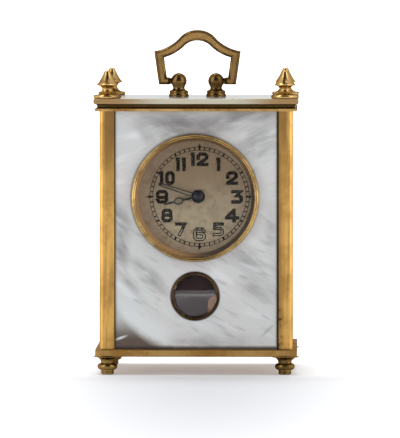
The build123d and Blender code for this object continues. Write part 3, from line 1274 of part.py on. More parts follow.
def minute_wheel():
    """The wheel that the cannon pinion drives, with the pinion that drives the hour wheel."""
    face = wheel_gear(MINUTE_WHEEL_TEETH, CANNON_MODULE, MINUTE_WHEEL_DIRECTION - 180)
    wheel = layer(face, MINUTE_WHEEL_FRONT, MINUTE_WHEEL_BACK, MINUTE_WHEEL_AT)
    leaves = pinion_gear(MINUTE_PINION_LEAVES, HOUR_MODULE, MINUTE_WHEEL_DIRECTION)
    wheel += layer(leaves, HOUR_WHEEL_FRONT, MINUTE_WHEEL_FRONT, MINUTE_WHEEL_AT)
    return wheel - rod(MINUTE_POST_RADIUS + RUN, DIAL_BACK, FRONT_PLATE_FRONT, MINUTE_WHEEL_AT)


def hour_pipe_radius():
    return CANNON_PIPE_RADIUS + RUN + HOUR_PIPE_WALL


def hour_wheel():
    """The hour wheel on its pipe, which turns on the cannon pinion's pipe."""
    face = wheel_gear(HOUR_WHEEL_TEETH, HOUR_MODULE, MINUTE_WHEEL_DIRECTION)
    wheel = layer(face, HOUR_WHEEL_FRONT, HOUR_WHEEL_BACK, CENTER_AT)
    wheel += rod(hour_pipe_radius(), HOUR_HAND_DEPTH, HOUR_WHEEL_FRONT, CENTER_AT)
    return wheel - rod(CANNON_PIPE_RADIUS + RUN, 0, FRONT_PLATE_FRONT, CENTER_AT)


def setting_knob():
    """A ribbed knob on the rear end of the center arbor."""
    hub = rod(KNOB_HUB_RADIUS, MOVEMENT_BACK + RUN, KNOB_FRONT, CENTER_AT)
    face = Circle(KNOB_RADIUS)
    for rib in range(KNOB_RIBS):
        face -= Rot(0, 0, 360 * rib / KNOB_RIBS) * Pos(KNOB_RADIUS, 0) * Circle(KNOB_RIB_DEPTH)
    knob = hub + layer(face, KNOB_FRONT, KNOB_BACK, CENTER_AT)
    return knob - rod(CENTER_ARBOR_RADIUS + FIT, MOVEMENT_BACK - OVERRUN, KNOB_BACK + OVERRUN, CENTER_AT)


NODES = {
    "base_plate": base_plate(),
    "feet": group(place * foot() for place in corners()),
    "front_posts": group(post(side, -1) for side in (-1, 1)),
    "rear_posts": group(post(side, 1) for side in (-1, 1)),
    "front_panel": front_panel(),
    "left_panel": side_panel(-1),
    "right_panel": side_panel(1),
    "top_plate": top_plate(),
    "top_slab": top_slab(),
    "finials": group(place * finial() for place in corners(SLAB_TOP)),
    "handle": handle(),
    "handle_lugs": group(handle_lug(side) for side in (-1, 1)),
    "lug_nuts": group(lug_nut(side) for side in (-1, 1)),
    "door_frame": door_frame(),
    "door_glass": door_glass(),
    "door_pivots": group(door_pivot(side) for side in (-1, 1)),
    "door_knob": door_knob(),
    "bezel": bezel(),
    "crystal": crystal(),
    "dial_housing": dial_housing(),
    "rehaut_ring": rehaut_ring(),
    "dial": dial(),
    "hour_hand": hour_hand(),
    "minute_hand": minute_hand(),
    "hand_cap": hand_cap(),
    "window_rim": window_rim(),
    "window_glass": window_glass(),
    "window_lining": window_lining(),
    "window_card": window_card(),
    "front_plate": front_plate(),
    "back_plate": back_plate(),
    "movement_pillars": movement_pillars(),
    "movement_screws": movement_screws(),
    "barrel": barrel(),
    "barrel_cover": barrel_cover(),
    "mainspring": mainspring(),
    "barrel_arbor": barrel_arbor(),
    "ratchet_wheel": ratchet_wheel(),
    "click": click(),
    "click_spring": click_spring(),
    "winding_key": winding_key(),
    "center_wheel": center_wheel(),
    "center_pinion": center_pinion(),
    "center_arbor": center_arbor(),
    "third_wheel": third_wheel(),
    "third_arbor": third_arbor(),
    "fourth_wheel": fourth_wheel(),
    "fourth_arbor": fourth_arbor(),
    "escape_wheel": escape_wheel(),
    "escape_arbor": escape_arbor(),
    "pallet_fork": pallet_fork(),
    "balance_wheel": balance_wheel(),
    "balance_staff": balance_staff(),
    "hairspring": hairspring(),
    "balance_cock": balance_cock(),
    "regulator": regulator(),
    "cannon_pinion": cannon_pinion(),
    "minute_wheel": minute_wheel(),
    "hour_wheel": hour_wheel(),
    "setting_knob": setting_knob(),
}

os.makedirs("parts", exist_ok=True)
for name, shape in NODES.items():
    export_step(shape, f"parts/{name}.step")
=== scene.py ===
import bmesh
import bpy
import json
from math import atan2, cos, hypot, pi, radians, sin, sqrt
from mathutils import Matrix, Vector

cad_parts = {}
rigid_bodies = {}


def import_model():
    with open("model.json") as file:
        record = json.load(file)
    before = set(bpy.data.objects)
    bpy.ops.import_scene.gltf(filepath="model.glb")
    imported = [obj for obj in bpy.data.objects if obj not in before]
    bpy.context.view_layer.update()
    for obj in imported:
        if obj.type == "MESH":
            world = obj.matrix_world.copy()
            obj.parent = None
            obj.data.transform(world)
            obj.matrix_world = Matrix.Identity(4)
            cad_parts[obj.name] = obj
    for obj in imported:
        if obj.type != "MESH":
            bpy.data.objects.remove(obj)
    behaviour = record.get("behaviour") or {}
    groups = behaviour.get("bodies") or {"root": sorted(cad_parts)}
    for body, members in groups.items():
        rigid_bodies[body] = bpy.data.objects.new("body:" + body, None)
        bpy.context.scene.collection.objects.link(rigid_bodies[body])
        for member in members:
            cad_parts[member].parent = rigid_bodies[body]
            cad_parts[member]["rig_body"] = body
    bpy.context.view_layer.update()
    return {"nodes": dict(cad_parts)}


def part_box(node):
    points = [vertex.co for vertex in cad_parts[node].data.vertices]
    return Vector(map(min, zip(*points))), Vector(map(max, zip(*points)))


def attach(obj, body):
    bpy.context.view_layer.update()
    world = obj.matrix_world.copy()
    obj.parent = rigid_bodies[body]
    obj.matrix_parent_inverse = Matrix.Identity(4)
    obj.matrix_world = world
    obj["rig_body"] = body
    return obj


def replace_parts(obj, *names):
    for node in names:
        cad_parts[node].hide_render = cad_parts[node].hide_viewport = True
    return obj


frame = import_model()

# Base plate: a thick brass plate with softened edges, gilt and polished, now mellow and spotted.
# The studs of the four posts pass through it into the feet, which clamp it from below.
MM = 0.001
SEAM = 0.0005 * MM
CREASE = radians(32)
GILT_BRIGHT = (0.83, 0.50, 0.155, 1.0)
GILT_DULL = (0.33, 0.165, 0.042, 1.0)
GILT_SPOT = (0.085, 0.042, 0.014, 1.0)
RIM_TINT = (0.36, 0.27, 0.19, 1.0)
PLATE_MELLOW = (0.42, 0.255, 0.085, 1.0)
FLATNESS = radians(0.4)
TARNISH_PATCH = 6 * MM
TARNISH_GRAIN = 0.9 * MM
SPOT_SIZE = 0.55 * MM
SCRATCH_WIDTH = 0.09 * MM
SCRATCH_STRETCH = (1, 1, 16)
SCRATCH_DEPTH = 0.004 * MM
SCRATCH_ROUGHNESS = 0.10
BUMP_STRENGTH = 0.6
# A pair named BETWEEN gives the values at which a pattern begins to show and shows in full.
GRAIN_SHARE = 0.35
DULL_BETWEEN = (0.58, 0.86)
DULL_ROUGHNESS = 0.22
SPOTS_BETWEEN = (0.70, 0.78)
SPOT_PIT = -1.5


def fill(tree, node, sockets):
    """Gives the sockets of a node plain values or the outputs of other nodes."""
    for name, value in sockets.items():
        if isinstance(value, bpy.types.NodeSocket):
            tree.links.new(value, node.inputs[name])
        else:
            node.inputs[name].default_value = value


def put(tree, kind, sockets=None, **settings):
    """Adds a node with its settings and fills its sockets."""
    made = tree.nodes.new(kind)
    for name, value in settings.items():
        setattr(made, name, value)
    fill(tree, made, sockets or {})
    return made


def calc(tree, operation, *values):
    return put(tree, "ShaderNodeMath", dict(enumerate(values)), operation=operation).outputs[0]


def times(tree, first, second):
    return calc(tree, "MULTIPLY", first, second)


def plus(tree, base, value, share):
    """A base with a share of a changing value added."""
    return calc(tree, "MULTIPLY_ADD", value, share, base)


def split(tree, place):
    return put(tree, "ShaderNodeSeparateXYZ", {0: place}).outputs


def rise(tree, value, low, high):
    """Runs smoothly from 0 where the value is low to 1 where it is high."""
    sockets = {"Value": value, "From Min": low, "From Max": high}
    return put(tree, "ShaderNodeMapRange", sockets, interpolation_type="SMOOTHSTEP").outputs["Result"]


def tint(tree, share, first, second):
    return put(tree, "ShaderNodeMix", {0: share, 6: first, 7: second}, data_type="RGBA").outputs[2]


def turned_place(tree, place, middle=(0, 0, 0), turn=(0, 0, 0), stretch=(1, 1, 1)):
    """The place within a pattern that is moved to a middle, turned and drawn out."""
    sockets = {"Vector": place, "Location": middle, "Rotation": turn, "Scale": stretch}
    return put(tree, "ShaderNodeMapping", sockets, vector_type="TEXTURE").outputs["Vector"]


def cloud(tree, place, size, detail=3.0, twist=0.0):
    """Soft random patches of about the given size."""
    sockets = {"Vector": place, "Scale": 1 / size, "Detail": detail, "Distortion": twist}
    return put(tree, "ShaderNodeTexNoise", sockets).outputs[0]


def new_group(name, inputs, outputs):
    """A shader group with named sockets; gives the group, what goes in and what comes out."""
    group = bpy.data.node_groups.new(name, "ShaderNodeTree")
    for label, kind in inputs:
        group.interface.new_socket(label, in_out="INPUT", socket_type="NodeSocket" + kind)
    for label, kind in outputs:
        group.interface.new_socket(label, in_out="OUTPUT", socket_type="NodeSocket" + kind)
    return group, put(group, "NodeGroupInput").outputs, put(group, "NodeGroupOutput").inputs


def new_finish(name):
    """A material; gives it with its tree, its shader and the place on the piece."""
    finish = bpy.data.materials.new(name)
    finish.use_nodes = True
    tree = finish.node_tree
    return finish, tree, tree.nodes["Principled BSDF"], put(tree, "ShaderNodeTexCoord").outputs["Object"]


def bumps(tree, height, depth):
    sockets = {"Height": height, "Distance": depth, "Strength": BUMP_STRENGTH}
    return put(tree, "ShaderNodeBump", sockets).outputs["Normal"]


patina, given, gives = new_group(
    "patina_on_metal",
    [("Place", "Vector"), ("Bright", "Color"), ("Dull", "Color"), ("Spot", "Color"),
     ("Dull share", "Float"), ("Rough", "Float")],
    [("Colour", "Color"), ("Roughness", "Float"), ("Height", "Float")],
)
broad = cloud(patina, given["Place"], TARNISH_PATCH, detail=4.0)
small = cloud(patina, given["Place"], TARNISH_GRAIN, detail=5.0)
dull = rise(patina, plus(patina, broad, small, GRAIN_SHARE), *DULL_BETWEEN)
dull = times(patina, dull, given["Dull share"])
spots = rise(patina, cloud(patina, given["Place"], SPOT_SIZE, detail=2.0), *SPOTS_BETWEEN)
spots = times(patina, spots, given["Dull share"])
mellow = tint(patina, dull, given["Bright"], given["Dull"])
drawn_out = turned_place(patina, given["Place"], stretch=SCRATCH_STRETCH)
scratches = cloud(patina, drawn_out, SCRATCH_WIDTH, detail=2.0)
matt = plus(patina, given["Rough"], dull, DULL_ROUGHNESS)
patina.links.new(tint(patina, spots, mellow, given["Spot"]), gives["Colour"])
patina.links.new(plus(patina, matt, scratches, SCRATCH_ROUGHNESS), gives["Roughness"])
patina.links.new(plus(patina, scratches, spots, SPOT_PIT), gives["Height"])


def aged_metal(name, bright, dull, spot, dulled, rough, marks=None):
    """Metal with patina; marks can lay further tarnish, grime and painted shade over its colour."""
    finish, tree, shader, place = new_finish(name)
    sockets = {"Place": place, "Bright": bright, "Dull": dull, "Spot": spot,
               "Dull share": dulled, "Rough": rough}
    age = put(tree, "ShaderNodeGroup", sockets, node_tree=patina).outputs
    colour = marks(tree, place, age["Colour"]) if marks else age["Colour"]
    normal = bumps(tree, age["Height"], SCRATCH_DEPTH)
    fill(tree, shader, {"Base Color": colour, "Roughness": age["Roughness"], "Normal": normal,
                        "Metallic": 1.0, "Specular Tint": RIM_TINT})
    return finish


def merged(node):
    """A CAD piece as one mesh, its triangles joined at their corners and into whole flat faces."""
    source = frame["nodes"][node].data
    mesh = bpy.data.meshes.new(node)
    corners = [vertex.co[:] for vertex in source.vertices]
    mesh.from_pydata(corners, [], [face.vertices[:] for face in source.polygons])
    work = bmesh.new()
    work.from_mesh(mesh)
    bmesh.ops.remove_doubles(work, verts=work.verts, dist=SEAM)
    bmesh.ops.dissolve_limit(work, angle_limit=FLATNESS, verts=work.verts, edges=work.edges)
    work.to_mesh(mesh)
    work.free()
    return mesh


def shown(name, mesh, finish, body, soft_edge=0.0, crease=CREASE):
    """Makes a mesh a piece that moves with a body, smooth up to its creases."""
    mesh.materials.clear()
    mesh.materials.append(finish)
    mesh.shade_smooth()
    mesh.set_sharp_from_angle(angle=crease)
    piece = bpy.data.objects.new(name, mesh)
    bpy.context.scene.collection.objects.link(piece)
    if soft_edge:
        bevel = piece.modifiers.new("softened_edges", "BEVEL")
        bevel.width = soft_edge
        bevel.segments = 3
        bevel.limit_method = "ANGLE"
        bevel.angle_limit = crease
        bevel.harden_normals = True
    else:
        even = piece.modifiers.new("even_shading", "WEIGHTED_NORMAL")
        even.keep_sharp = True
    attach(piece, body)
    return piece


def dressed(node, finish, mesh=None, soft_edge=0.0, crease=CREASE):
    """Shows a finer mesh in place of a CAD piece, on its body."""
    body = frame["nodes"][node]["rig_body"]
    piece = shown(node + "_finished", mesh or merged(node), finish, body, soft_edge, crease)
    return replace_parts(piece, node)


gilt = aged_metal("mellow_gilt_brass", GILT_BRIGHT, GILT_DULL, GILT_SPOT, dulled=0.75, rough=0.20)
plate_gilt = aged_metal("browned_plate_brass", PLATE_MELLOW, GILT_DULL, GILT_SPOT, dulled=0.9, rough=0.24)
dressed("base_plate", plate_gilt)

# Feet: four turned brass feet with a bead, a hollow and a flange under the plate.
# Each is screwed on the stud of its post, and a tree sets one turned shape under all four posts.
POST_SPREAD_X = 46.2 * MM
POST_SPREAD_Y = 36.6 * MM
FOOT_RADIUS = 3.64 * MM
FOOT_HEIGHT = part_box("feet")[1].z
FOOT_SHADED_BRIGHT = (0.26, 0.165, 0.055, 1.0)
FOOT_SHADED_DULL = (0.085, 0.048, 0.014, 1.0)


def arc(start, through, end, steps=9):
    """The points of a round stretch after its start, through one point to its end."""
    (ax, ay), (bx, by), (cx, cy) = start, through, end
    spread = 2 * (ax * (by - cy) + bx * (cy - ay) + cx * (ay - by))
    a, b, c = ax * ax + ay * ay, bx * bx + by * by, cx * cx + cy * cy
    mx = (a * (by - cy) + b * (cy - ay) + c * (ay - by)) / spread
    my = (a * (cx - bx) + b * (ax - cx) + c * (bx - ax)) / spread
    radius = hypot(ax - mx, ay - my)
    first = atan2(ay - my, ax - mx)
    sweep = (atan2(cy - my, cx - mx) - first) % (2 * pi)
    if (atan2(by - my, bx - mx) - first) % (2 * pi) > sweep:
        sweep -= 2 * pi
    angles = [first + sweep * step / steps for step in range(1, steps + 1)]
    return [(mx + radius * cos(angle), my + radius * sin(angle)) for angle in angles]


def profile(width, height, *stretches):
    """A turner's profile in shares of its width and height; three points in a row make an arc."""
    points = []
    for stretch in stretches:
        if len(stretch) == 3:
            points += arc(*[(width * across, height * up) for across, up in stretch])
        else:
            points += [(width * across, height * up) for across, up in stretch]
    return points


def outward(name, work):
    """Ends the work as a mesh with its faces turned outward."""
    bmesh.ops.recalc_face_normals(work, faces=work.faces)
    mesh = bpy.data.meshes.new(name)
    work.to_mesh(mesh)
    work.free()
    return mesh


def turned(name, points, at=(0, 0, 0), facing=False, steps=112):
    """Spins (radius, length) points round an upright axis, or round one that runs from front to back."""
    work = bmesh.new()
    rings = []
    for radius, along in points:
        ring = []
        for step in range(steps if radius > SEAM else 1):
            angle = 2 * pi * step / steps
            across, up = radius * cos(angle), radius * sin(angle)
            spot = (across, along, up) if facing else (across, up, along)
            ring.append(work.verts.new(Vector(at) + Vector(spot)))
        rings.append(ring)
    pairs = list(zip(rings, rings[1:]))
    if len(rings[0]) > 1 and len(rings[-1]) > 1:
        pairs.append((rings[-1], rings[0]))
    for first, second in pairs:
        for step in range(steps):
            after = (step + 1) % steps
            corners = [first[step % len(first)], first[after % len(first)],
                       second[after % len(second)], second[step % len(second)]]
            work.faces.new(dict.fromkeys(corners))
    return outward(name, work)


def new_tree(name, inputs):
    """A geometry tree with named inputs; gives the tree, what goes in and the way out."""
    tree = bpy.data.node_groups.new(name, "GeometryNodeTree")
    tree.interface.new_socket("Geometry", in_out="INPUT", socket_type="NodeSocketGeometry")
    for label, kind in inputs:
        tree.interface.new_socket(label, in_out="INPUT", socket_type="NodeSocket" + kind)
    tree.interface.new_socket("Geometry", in_out="OUTPUT", socket_type="NodeSocketGeometry")
    return tree, put(tree, "NodeGroupInput").outputs, put(tree, "NodeGroupOutput").inputs[0]


def end_tree(tree, shape, finish, way_out):
    """Every tree ends as one real mesh with its material set."""
    real = put(tree, "GeometryNodeRealizeInstances", {"Geometry": shape}).outputs[0]
    coloured = put(tree, "GeometryNodeSetMaterial", {"Geometry": real, "Material": finish})
    tree.links.new(coloured.outputs[0], way_out)


def grown(tree, mesh, values):
    """The plain mesh that a tree makes from a mesh and its named values."""
    carrier = bpy.data.objects.new("carrier", mesh)
    bpy.context.scene.collection.objects.link(carrier)
    modifier = carrier.modifiers.new(tree.name, "NODES")
    modifier.node_group = tree
    for item in tree.interface.items_tree:
        if item.in_out == "INPUT" and item.name in values:
            modifier[item.identifier] = values[item.name]
    ready = carrier.evaluated_get(bpy.context.evaluated_depsgraph_get())
    made = bpy.data.meshes.new_from_object(ready)
    bpy.data.objects.remove(carrier)
    return made


set_out, given, way_out = new_tree(
    "set_out_in_rows",
    [("Across", "Float"), ("Deep", "Float"), ("Columns", "Int"), ("Rows", "Int"), ("Material", "Material")],
)
sockets = {"Size X": given["Across"], "Size Y": given["Deep"],
           "Vertices X": given["Columns"], "Vertices Y": given["Rows"]}
places = put(set_out, "GeometryNodeMeshGrid", sockets).outputs["Mesh"]
sockets = {"Points": places, "Instance": given["Geometry"]}
copies = put(set_out, "GeometryNodeInstanceOnPoints", sockets).outputs[0]
end_tree(set_out, copies, given["Material"], way_out)


def on_each_post(mesh, finish):
    values = {"Across": POST_SPREAD_X, "Deep": POST_SPREAD_Y, "Columns": 2, "Rows": 2, "Material": finish}
    return grown(set_out, mesh, values)


foot_profile = profile(
    FOOT_RADIUS, FOOT_HEIGHT,
    [(0.0, 0.0), (0.38, 0.0), (0.46, 0.05), (0.46, 0.13), (0.43, 0.15), (0.46, 0.17), (0.46, 0.26)],
    [(0.46, 0.26), (0.71, 0.44), (0.46, 0.62)],
    [(0.46, 0.62), (0.56, 0.84), (0.93, 0.95)],
    [(1.0, 0.97), (1.0, 1.0)],
    [(0.0, 1.0)],
)
# The feet take a darker copy of the brass: painted shade under the base plate.
shaded_foot_gilt = aged_metal("shaded_foot_brass", FOOT_SHADED_BRIGHT, FOOT_SHADED_DULL, GILT_SPOT, dulled=0.8, rough=0.16)
foot = turned("foot", foot_profile)
dressed("feet", shaded_foot_gilt, on_each_post(foot, shaded_foot_gilt))

# Posts: square drawn-brass posts with a rounded outer corner, grooved for the panels.
# The left one is browner at its top, the right one along the panel, and painted shadow darkens the joints.
POST_SIDE = 4.1 * MM
POST_INNER = POST_SPREAD_X / 2 - POST_SIDE / 2
POST_OUTER = POST_SPREAD_X / 2 + POST_SIDE / 2
POST_FOOT, POST_TOP = (corner.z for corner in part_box("front_panel"))
POST_BRIGHT = (0.70, 0.41, 0.118, 1.0)
POST_BROWN = (0.20, 0.112, 0.038, 1.0)
GRIME_AND_SHADOW = (0.022, 0.014, 0.007, 1.0)
BROWN_WANDER = 1.6 * MM
BROWN_STRETCH = (1, 1, 5)
BROWN_LIFT = 24 * MM
BROWN_SHARE = 0.85
RIGHT_TOP_SHARE = 0.9
BROWN_OFF_EDGE = (POST_OUTER + 0.1 * MM, POST_OUTER - 1.0 * MM)
BROWN_AT_TOP = (POST_TOP - 22 * MM, POST_TOP + 12 * MM)
BROWN_BY_PANEL = (POST_INNER + 3.4 * MM, POST_INNER + 0.6 * MM)
DRAWN_LINE = 0.7 * MM
DRAWN_STRETCH = (1, 1, 24)
LINES_BETWEEN = (0.46, 0.68)
LINES_SHARE = 0.4
STAIN_SIZE = 1.3 * MM
STAINS_BETWEEN = (0.47, 0.60)
STAIN_BELOW = (POST_FOOT + 13 * MM, POST_FOOT + 7 * MM)
JOINT_LEFT = POST_INNER + 0.14 * MM
JOINT_WIDER_RIGHT = 0.22 * MM
JOINT_FADE = 0.16 * MM


def post_tarnish(tree, place, colour):
    """Brown that keeps off the outer edge, dark stains low on the right and painted shadow in the joint
    along the panel.
    """
    parts = split(tree, place)
    inward = calc(tree, "ABSOLUTE", parts["X"])
    right = rise(tree, parts["X"], -1 * MM, 1 * MM)
    ragged = cloud(tree, turned_place(tree, place, stretch=BROWN_STRETCH), BROWN_WANDER, detail=5.0)
    inner = plus(tree, inward, ragged, BROWN_WANDER)
    height = plus(tree, parts["Z"], ragged, BROWN_LIFT)
    on_left = times(tree, rise(tree, height, *BROWN_AT_TOP), rise(tree, inner, *BROWN_OFF_EDGE))
    on_right = rise(tree, inner, *BROWN_BY_PANEL)
    on_right = calc(tree, "MAXIMUM", on_right, times(tree, on_left, RIGHT_TOP_SHARE))
    brown = put(tree, "ShaderNodeMix", {0: right, 2: on_left, 3: on_right}).outputs[0]
    drawn_out = turned_place(tree, place, stretch=DRAWN_STRETCH)
    lines = rise(tree, cloud(tree, drawn_out, DRAWN_LINE, detail=3.0), *LINES_BETWEEN)
    brown = calc(tree, "MAXIMUM", times(tree, brown, BROWN_SHARE), times(tree, lines, LINES_SHARE))
    colour = tint(tree, brown, colour, POST_BROWN)
    blots = rise(tree, cloud(tree, place, STAIN_SIZE, detail=4.0), *STAINS_BETWEEN)
    stained = times(tree, blots, rise(tree, parts["Z"], *STAIN_BELOW))
    stained = times(tree, stained, times(tree, on_right, right))
    colour = tint(tree, stained, colour, GRIME_AND_SHADOW)
    # Painted shadow: a dark line in the groove where the panel meets the post, wider on the right.
    joint = plus(tree, JOINT_LEFT, right, JOINT_WIDER_RIGHT)
    beyond = calc(tree, "SUBTRACT", inward, joint)
    return tint(tree, rise(tree, beyond, JOINT_FADE, 0.0), colour, GRIME_AND_SHADOW)


post_gilt = aged_metal("tarnished_post_brass", POST_BRIGHT, GILT_DULL, GILT_SPOT,
                       dulled=0.4, rough=0.32, marks=post_tarnish)
for node in ("front_posts", "rear_posts"):
    dressed(node, post_gilt)

# Panels: sheets of polished mother-of-pearl that stand in the grooves of the posts.
# The front one shows grey clouds above the dial, slanting streaks and a brown lower corner of shell.
PEARL_PALE = (0.575, 0.598, 0.592, 1.0)
PEARL_WHITE = (0.685, 0.715, 0.718, 1.0)
PEARL_GREY = (0.172, 0.160, 0.164, 1.0)
PEARL_PINK = (0.62, 0.585, 0.585, 1.0)
PEARL_GREEN = (0.570, 0.590, 0.578, 1.0)
SHELL_BROWN = (0.062, 0.030, 0.010, 1.0)
SHELL_BOW_MIDDLE = (-2.5 * MM, 0.0, 27.0 * MM)
SHELL_BOW = 19.1 * MM
PANEL_HALF_WIDTH = 21.05 * MM
UPPER_SLANT = (0, radians(-19), 0)
LOWER_SLANT = (0, radians(27), 0)
SIDE_SLANT = (radians(68), 0, radians(90))
SLANT_CHANGE = (50 * MM, 38 * MM)
STREAK_SIZE = 1.2 * MM
STREAK_STRETCH = (4.5, 1, 1)
STREAK_DEPTH = 0.006 * MM
SHEEN_SIZE = 3.4 * MM
HUE_SIZE = 11 * MM
HUES_BETWEEN = (0.36, 0.64)
LUSTRE_SHARE = 0.5
SHEEN_BETWEEN = (0.48, 0.72)
SHEEN_SHARE = 0.85
STREAKS_BETWEEN = (0.52, 0.78)
STREAKS_SHARE = 0.34
STREAKS_ROUGHNESS = 0.14
PEARL_ROUGH = 0.17
PEARL_SHEEN = {"Specular IOR Level": 0.3, "Coat Weight": 0.25, "Coat Roughness": 0.08,
               "Thin Film Thickness": 380.0, "Thin Film IOR": 1.38}

nacre, given, gives = new_group(
    "nacre",
    [("Place", "Vector"), ("Slant", "Vector")],
    [("Colour", "Color"), ("Streaks", "Float")],
)
slanted = turned_place(nacre, given["Place"], turn=given["Slant"], stretch=STREAK_STRETCH)
streaks = cloud(nacre, slanted, STREAK_SIZE, detail=5.0, twist=0.2)
soft = cloud(nacre, slanted, SHEEN_SIZE, detail=3.0, twist=0.3)
hue = cloud(nacre, given["Place"], HUE_SIZE, detail=2.0, twist=0.4)
lustre = tint(nacre, rise(nacre, hue, *HUES_BETWEEN), PEARL_PINK, PEARL_GREEN)
ground = tint(nacre, LUSTRE_SHARE, PEARL_PALE, lustre)
sheen = times(nacre, rise(nacre, soft, *SHEEN_BETWEEN), SHEEN_SHARE)
ground = tint(nacre, sheen, ground, PEARL_WHITE)
veins = times(nacre, rise(nacre, streaks, *STREAKS_BETWEEN), STREAKS_SHARE)
nacre.links.new(tint(nacre, veins, ground, PEARL_GREY), gives["Colour"])
nacre.links.new(streaks, gives["Streaks"])


def flat_place(tree, place):
    """The place on a front face, with its depth left out."""
    return put(tree, "ShaderNodeVectorMath", {0: place, 1: (1, 0, 1)}, operation="MULTIPLY").outputs[0]


def reach_from(tree, place, middle):
    """How far a place is from a middle."""
    return put(tree, "ShaderNodeVectorMath", {0: place, 1: middle}, operation="DISTANCE").outputs["Value"]


def patch(tree, place, middle, size, turn):
    """1 in the middle of a slanting oval, falling to 0 at its rim."""
    within = turned_place(tree, place, middle, (0, turn, 0), (size[0], 1, size[1]))
    return rise(tree, reach_from(tree, within, (0, 0, 0)), 1.0, 0.0)


def pearl(name, slant, marks=None):
    """Polished nacre with a clear sheen; marks can change its colour."""
    finish, tree, shader, place = new_finish(name)
    shell = put(tree, "ShaderNodeGroup", {"Place": place, "Slant": slant}, node_tree=nacre).outputs
    colour = marks(tree, place, shell["Colour"]) if marks else shell["Colour"]
    rough = plus(tree, PEARL_ROUGH, shell["Streaks"], STREAKS_ROUGHNESS)
    normal = bumps(tree, shell["Streaks"], STREAK_DEPTH)
    fill(tree, shader, {"Base Color": colour, "Roughness": rough, "Normal": normal, **PEARL_SHEEN})
    return finish


# The front sheet's grey clouds: across and up to the middle, length, width, turn, depth of the grey and the
# slant of the wisps, in millimetres and degrees.
GREY_CLOUDS = [
    (-4.0, 65.0, 17.0, 5.6, 6, 0.90, 20),
    (8.5, 66.3, 15.0, 4.2, -19, 0.80, -19),
    (16.5, 61.5, 12.0, 6.5, -22, 0.62, -22),
    (17.5, 67.5, 6.5, 2.6, -8, 0.55, -20),
    (-13.0, 62.5, 6.0, 2.6, 50, 0.40, 50),
    (-19.6, 41.0, 4.0, 9.0, -18, 0.70, 48),
    (-19.5, 33.0, 3.4, 8.5, -8, 0.80, 60),
    (-11.8, 25.6, 10.0, 3.0, 44, 0.70, 44),
    (-17.5, 24.0, 9.0, 2.2, 52, 0.45, 52),
    (14.0, 29.5, 11.0, 4.5, 22, 0.60, 24),
    (16.0, 22.5, 8.5, 4.5, 24, 0.52, 24),
    (19.5, 38.0, 2.8, 10.0, 0, 0.45, 30),
    (18.5, 11.5, 3.6, 0.7, -42, 0.60, -42),
    (4.0, 8.6, 20.0, 3.4, 0, 0.45, 10),
]
WISP_SIZE = 2.4 * MM
WISP_STRETCH = (3.2, 1, 1)
WISPS_BETWEEN = (0.20, 0.62)


def clouded(tree, flat, colour):
    """Grey clouds, broken up into slanting wisps."""
    for across, up, length, width, turn, depth, slant in GREY_CLOUDS:
        slanted = turned_place(tree, flat, turn=(0, radians(slant), 0), stretch=WISP_STRETCH)
        wisps = rise(tree, cloud(tree, slanted, WISP_SIZE, detail=4.0, twist=0.3), *WISPS_BETWEEN)
        oval = patch(tree, flat, (across * MM, 0.0, up * MM), (length * MM, width * MM), radians(turn))
        colour = tint(tree, times(tree, times(tree, oval, wisps), depth), colour, PEARL_GREY)
    return colour


SHELL_WAVE = 5 * MM
SHELL_WANDER = 1.6 * MM
SHELL_BELOW = (23 * MM, 14 * MM)
SHELL_LEFT_OF = (-4 * MM, -9 * MM)
SHELL_PAINTED_HIGHLIGHT = (SHELL_BOW - 5.0 * MM, SHELL_BOW - 0.8 * MM)
SHELL_EDGE = (SHELL_BOW + 0.6 * MM, SHELL_BOW + 3.4 * MM)
SHELL_DARKER_BELOW = (15.5 * MM, 9.0 * MM)
SHELL_SHARE = 0.33
SHELL_DARKER = 0.62
PAINTED_HIGHLIGHT_SHARE = 0.75
PAINTED_GLINT_AT = (-19.6 * MM, 0.0, 9.6 * MM)
PAINTED_GLINT_SIZE = (2.6 * MM, 0.55 * MM)
PAINTED_GLINT_TURN = radians(-20)


def brown_cornered(tree, place, flat, parts, colour):
    """Brown shell beyond a bow in the lower left corner, with a painted white highlight along the bow and a
    painted glint in the corner.
    """
    reach = reach_from(tree, flat, SHELL_BOW_MIDDLE)
    wavy = plus(tree, reach, cloud(tree, place, SHELL_WAVE), SHELL_WANDER)
    corner = times(tree, rise(tree, parts["Z"], *SHELL_BELOW), rise(tree, parts["X"], *SHELL_LEFT_OF))
    # Painted highlight: a white band inside the bow, and below a white glint on the brown.
    highlight_band = times(tree, rise(tree, wavy, *SHELL_PAINTED_HIGHLIGHT), corner)
    colour = tint(tree, times(tree, highlight_band, PAINTED_HIGHLIGHT_SHARE), colour, PEARL_WHITE)
    brown = times(tree, rise(tree, wavy, *SHELL_EDGE), corner)
    darker = plus(tree, SHELL_SHARE, rise(tree, parts["Z"], *SHELL_DARKER_BELOW), SHELL_DARKER)
    colour = tint(tree, times(tree, brown, darker), colour, SHELL_BROWN)
    return tint(tree, patch(tree, flat, PAINTED_GLINT_AT, PAINTED_GLINT_SIZE, PAINTED_GLINT_TURN), colour, PEARL_WHITE)


# Painted shadow: dark rings round the bezel and the window rim, a dark line along the foot of the sheet
# where it meets the base plate, and darker sides beside the posts.
RING_SHADOWS = {"bezel": (0.55 * MM, 0.60), "window_rim": (0.35 * MM, 0.70)}
FOOT_SHADOW = (POST_FOOT + 0.95 * MM, POST_FOOT + 0.10 * MM)
FOOT_SHADOW_SIZE = 2.5 * MM
FOOT_SHADOW_WANDER = 0.3 * MM
FOOT_SHADOW_SHARE = 0.92
SIDE_SHADOW = 0.5 * MM
SIDE_SHADOW_SHARE = 0.55


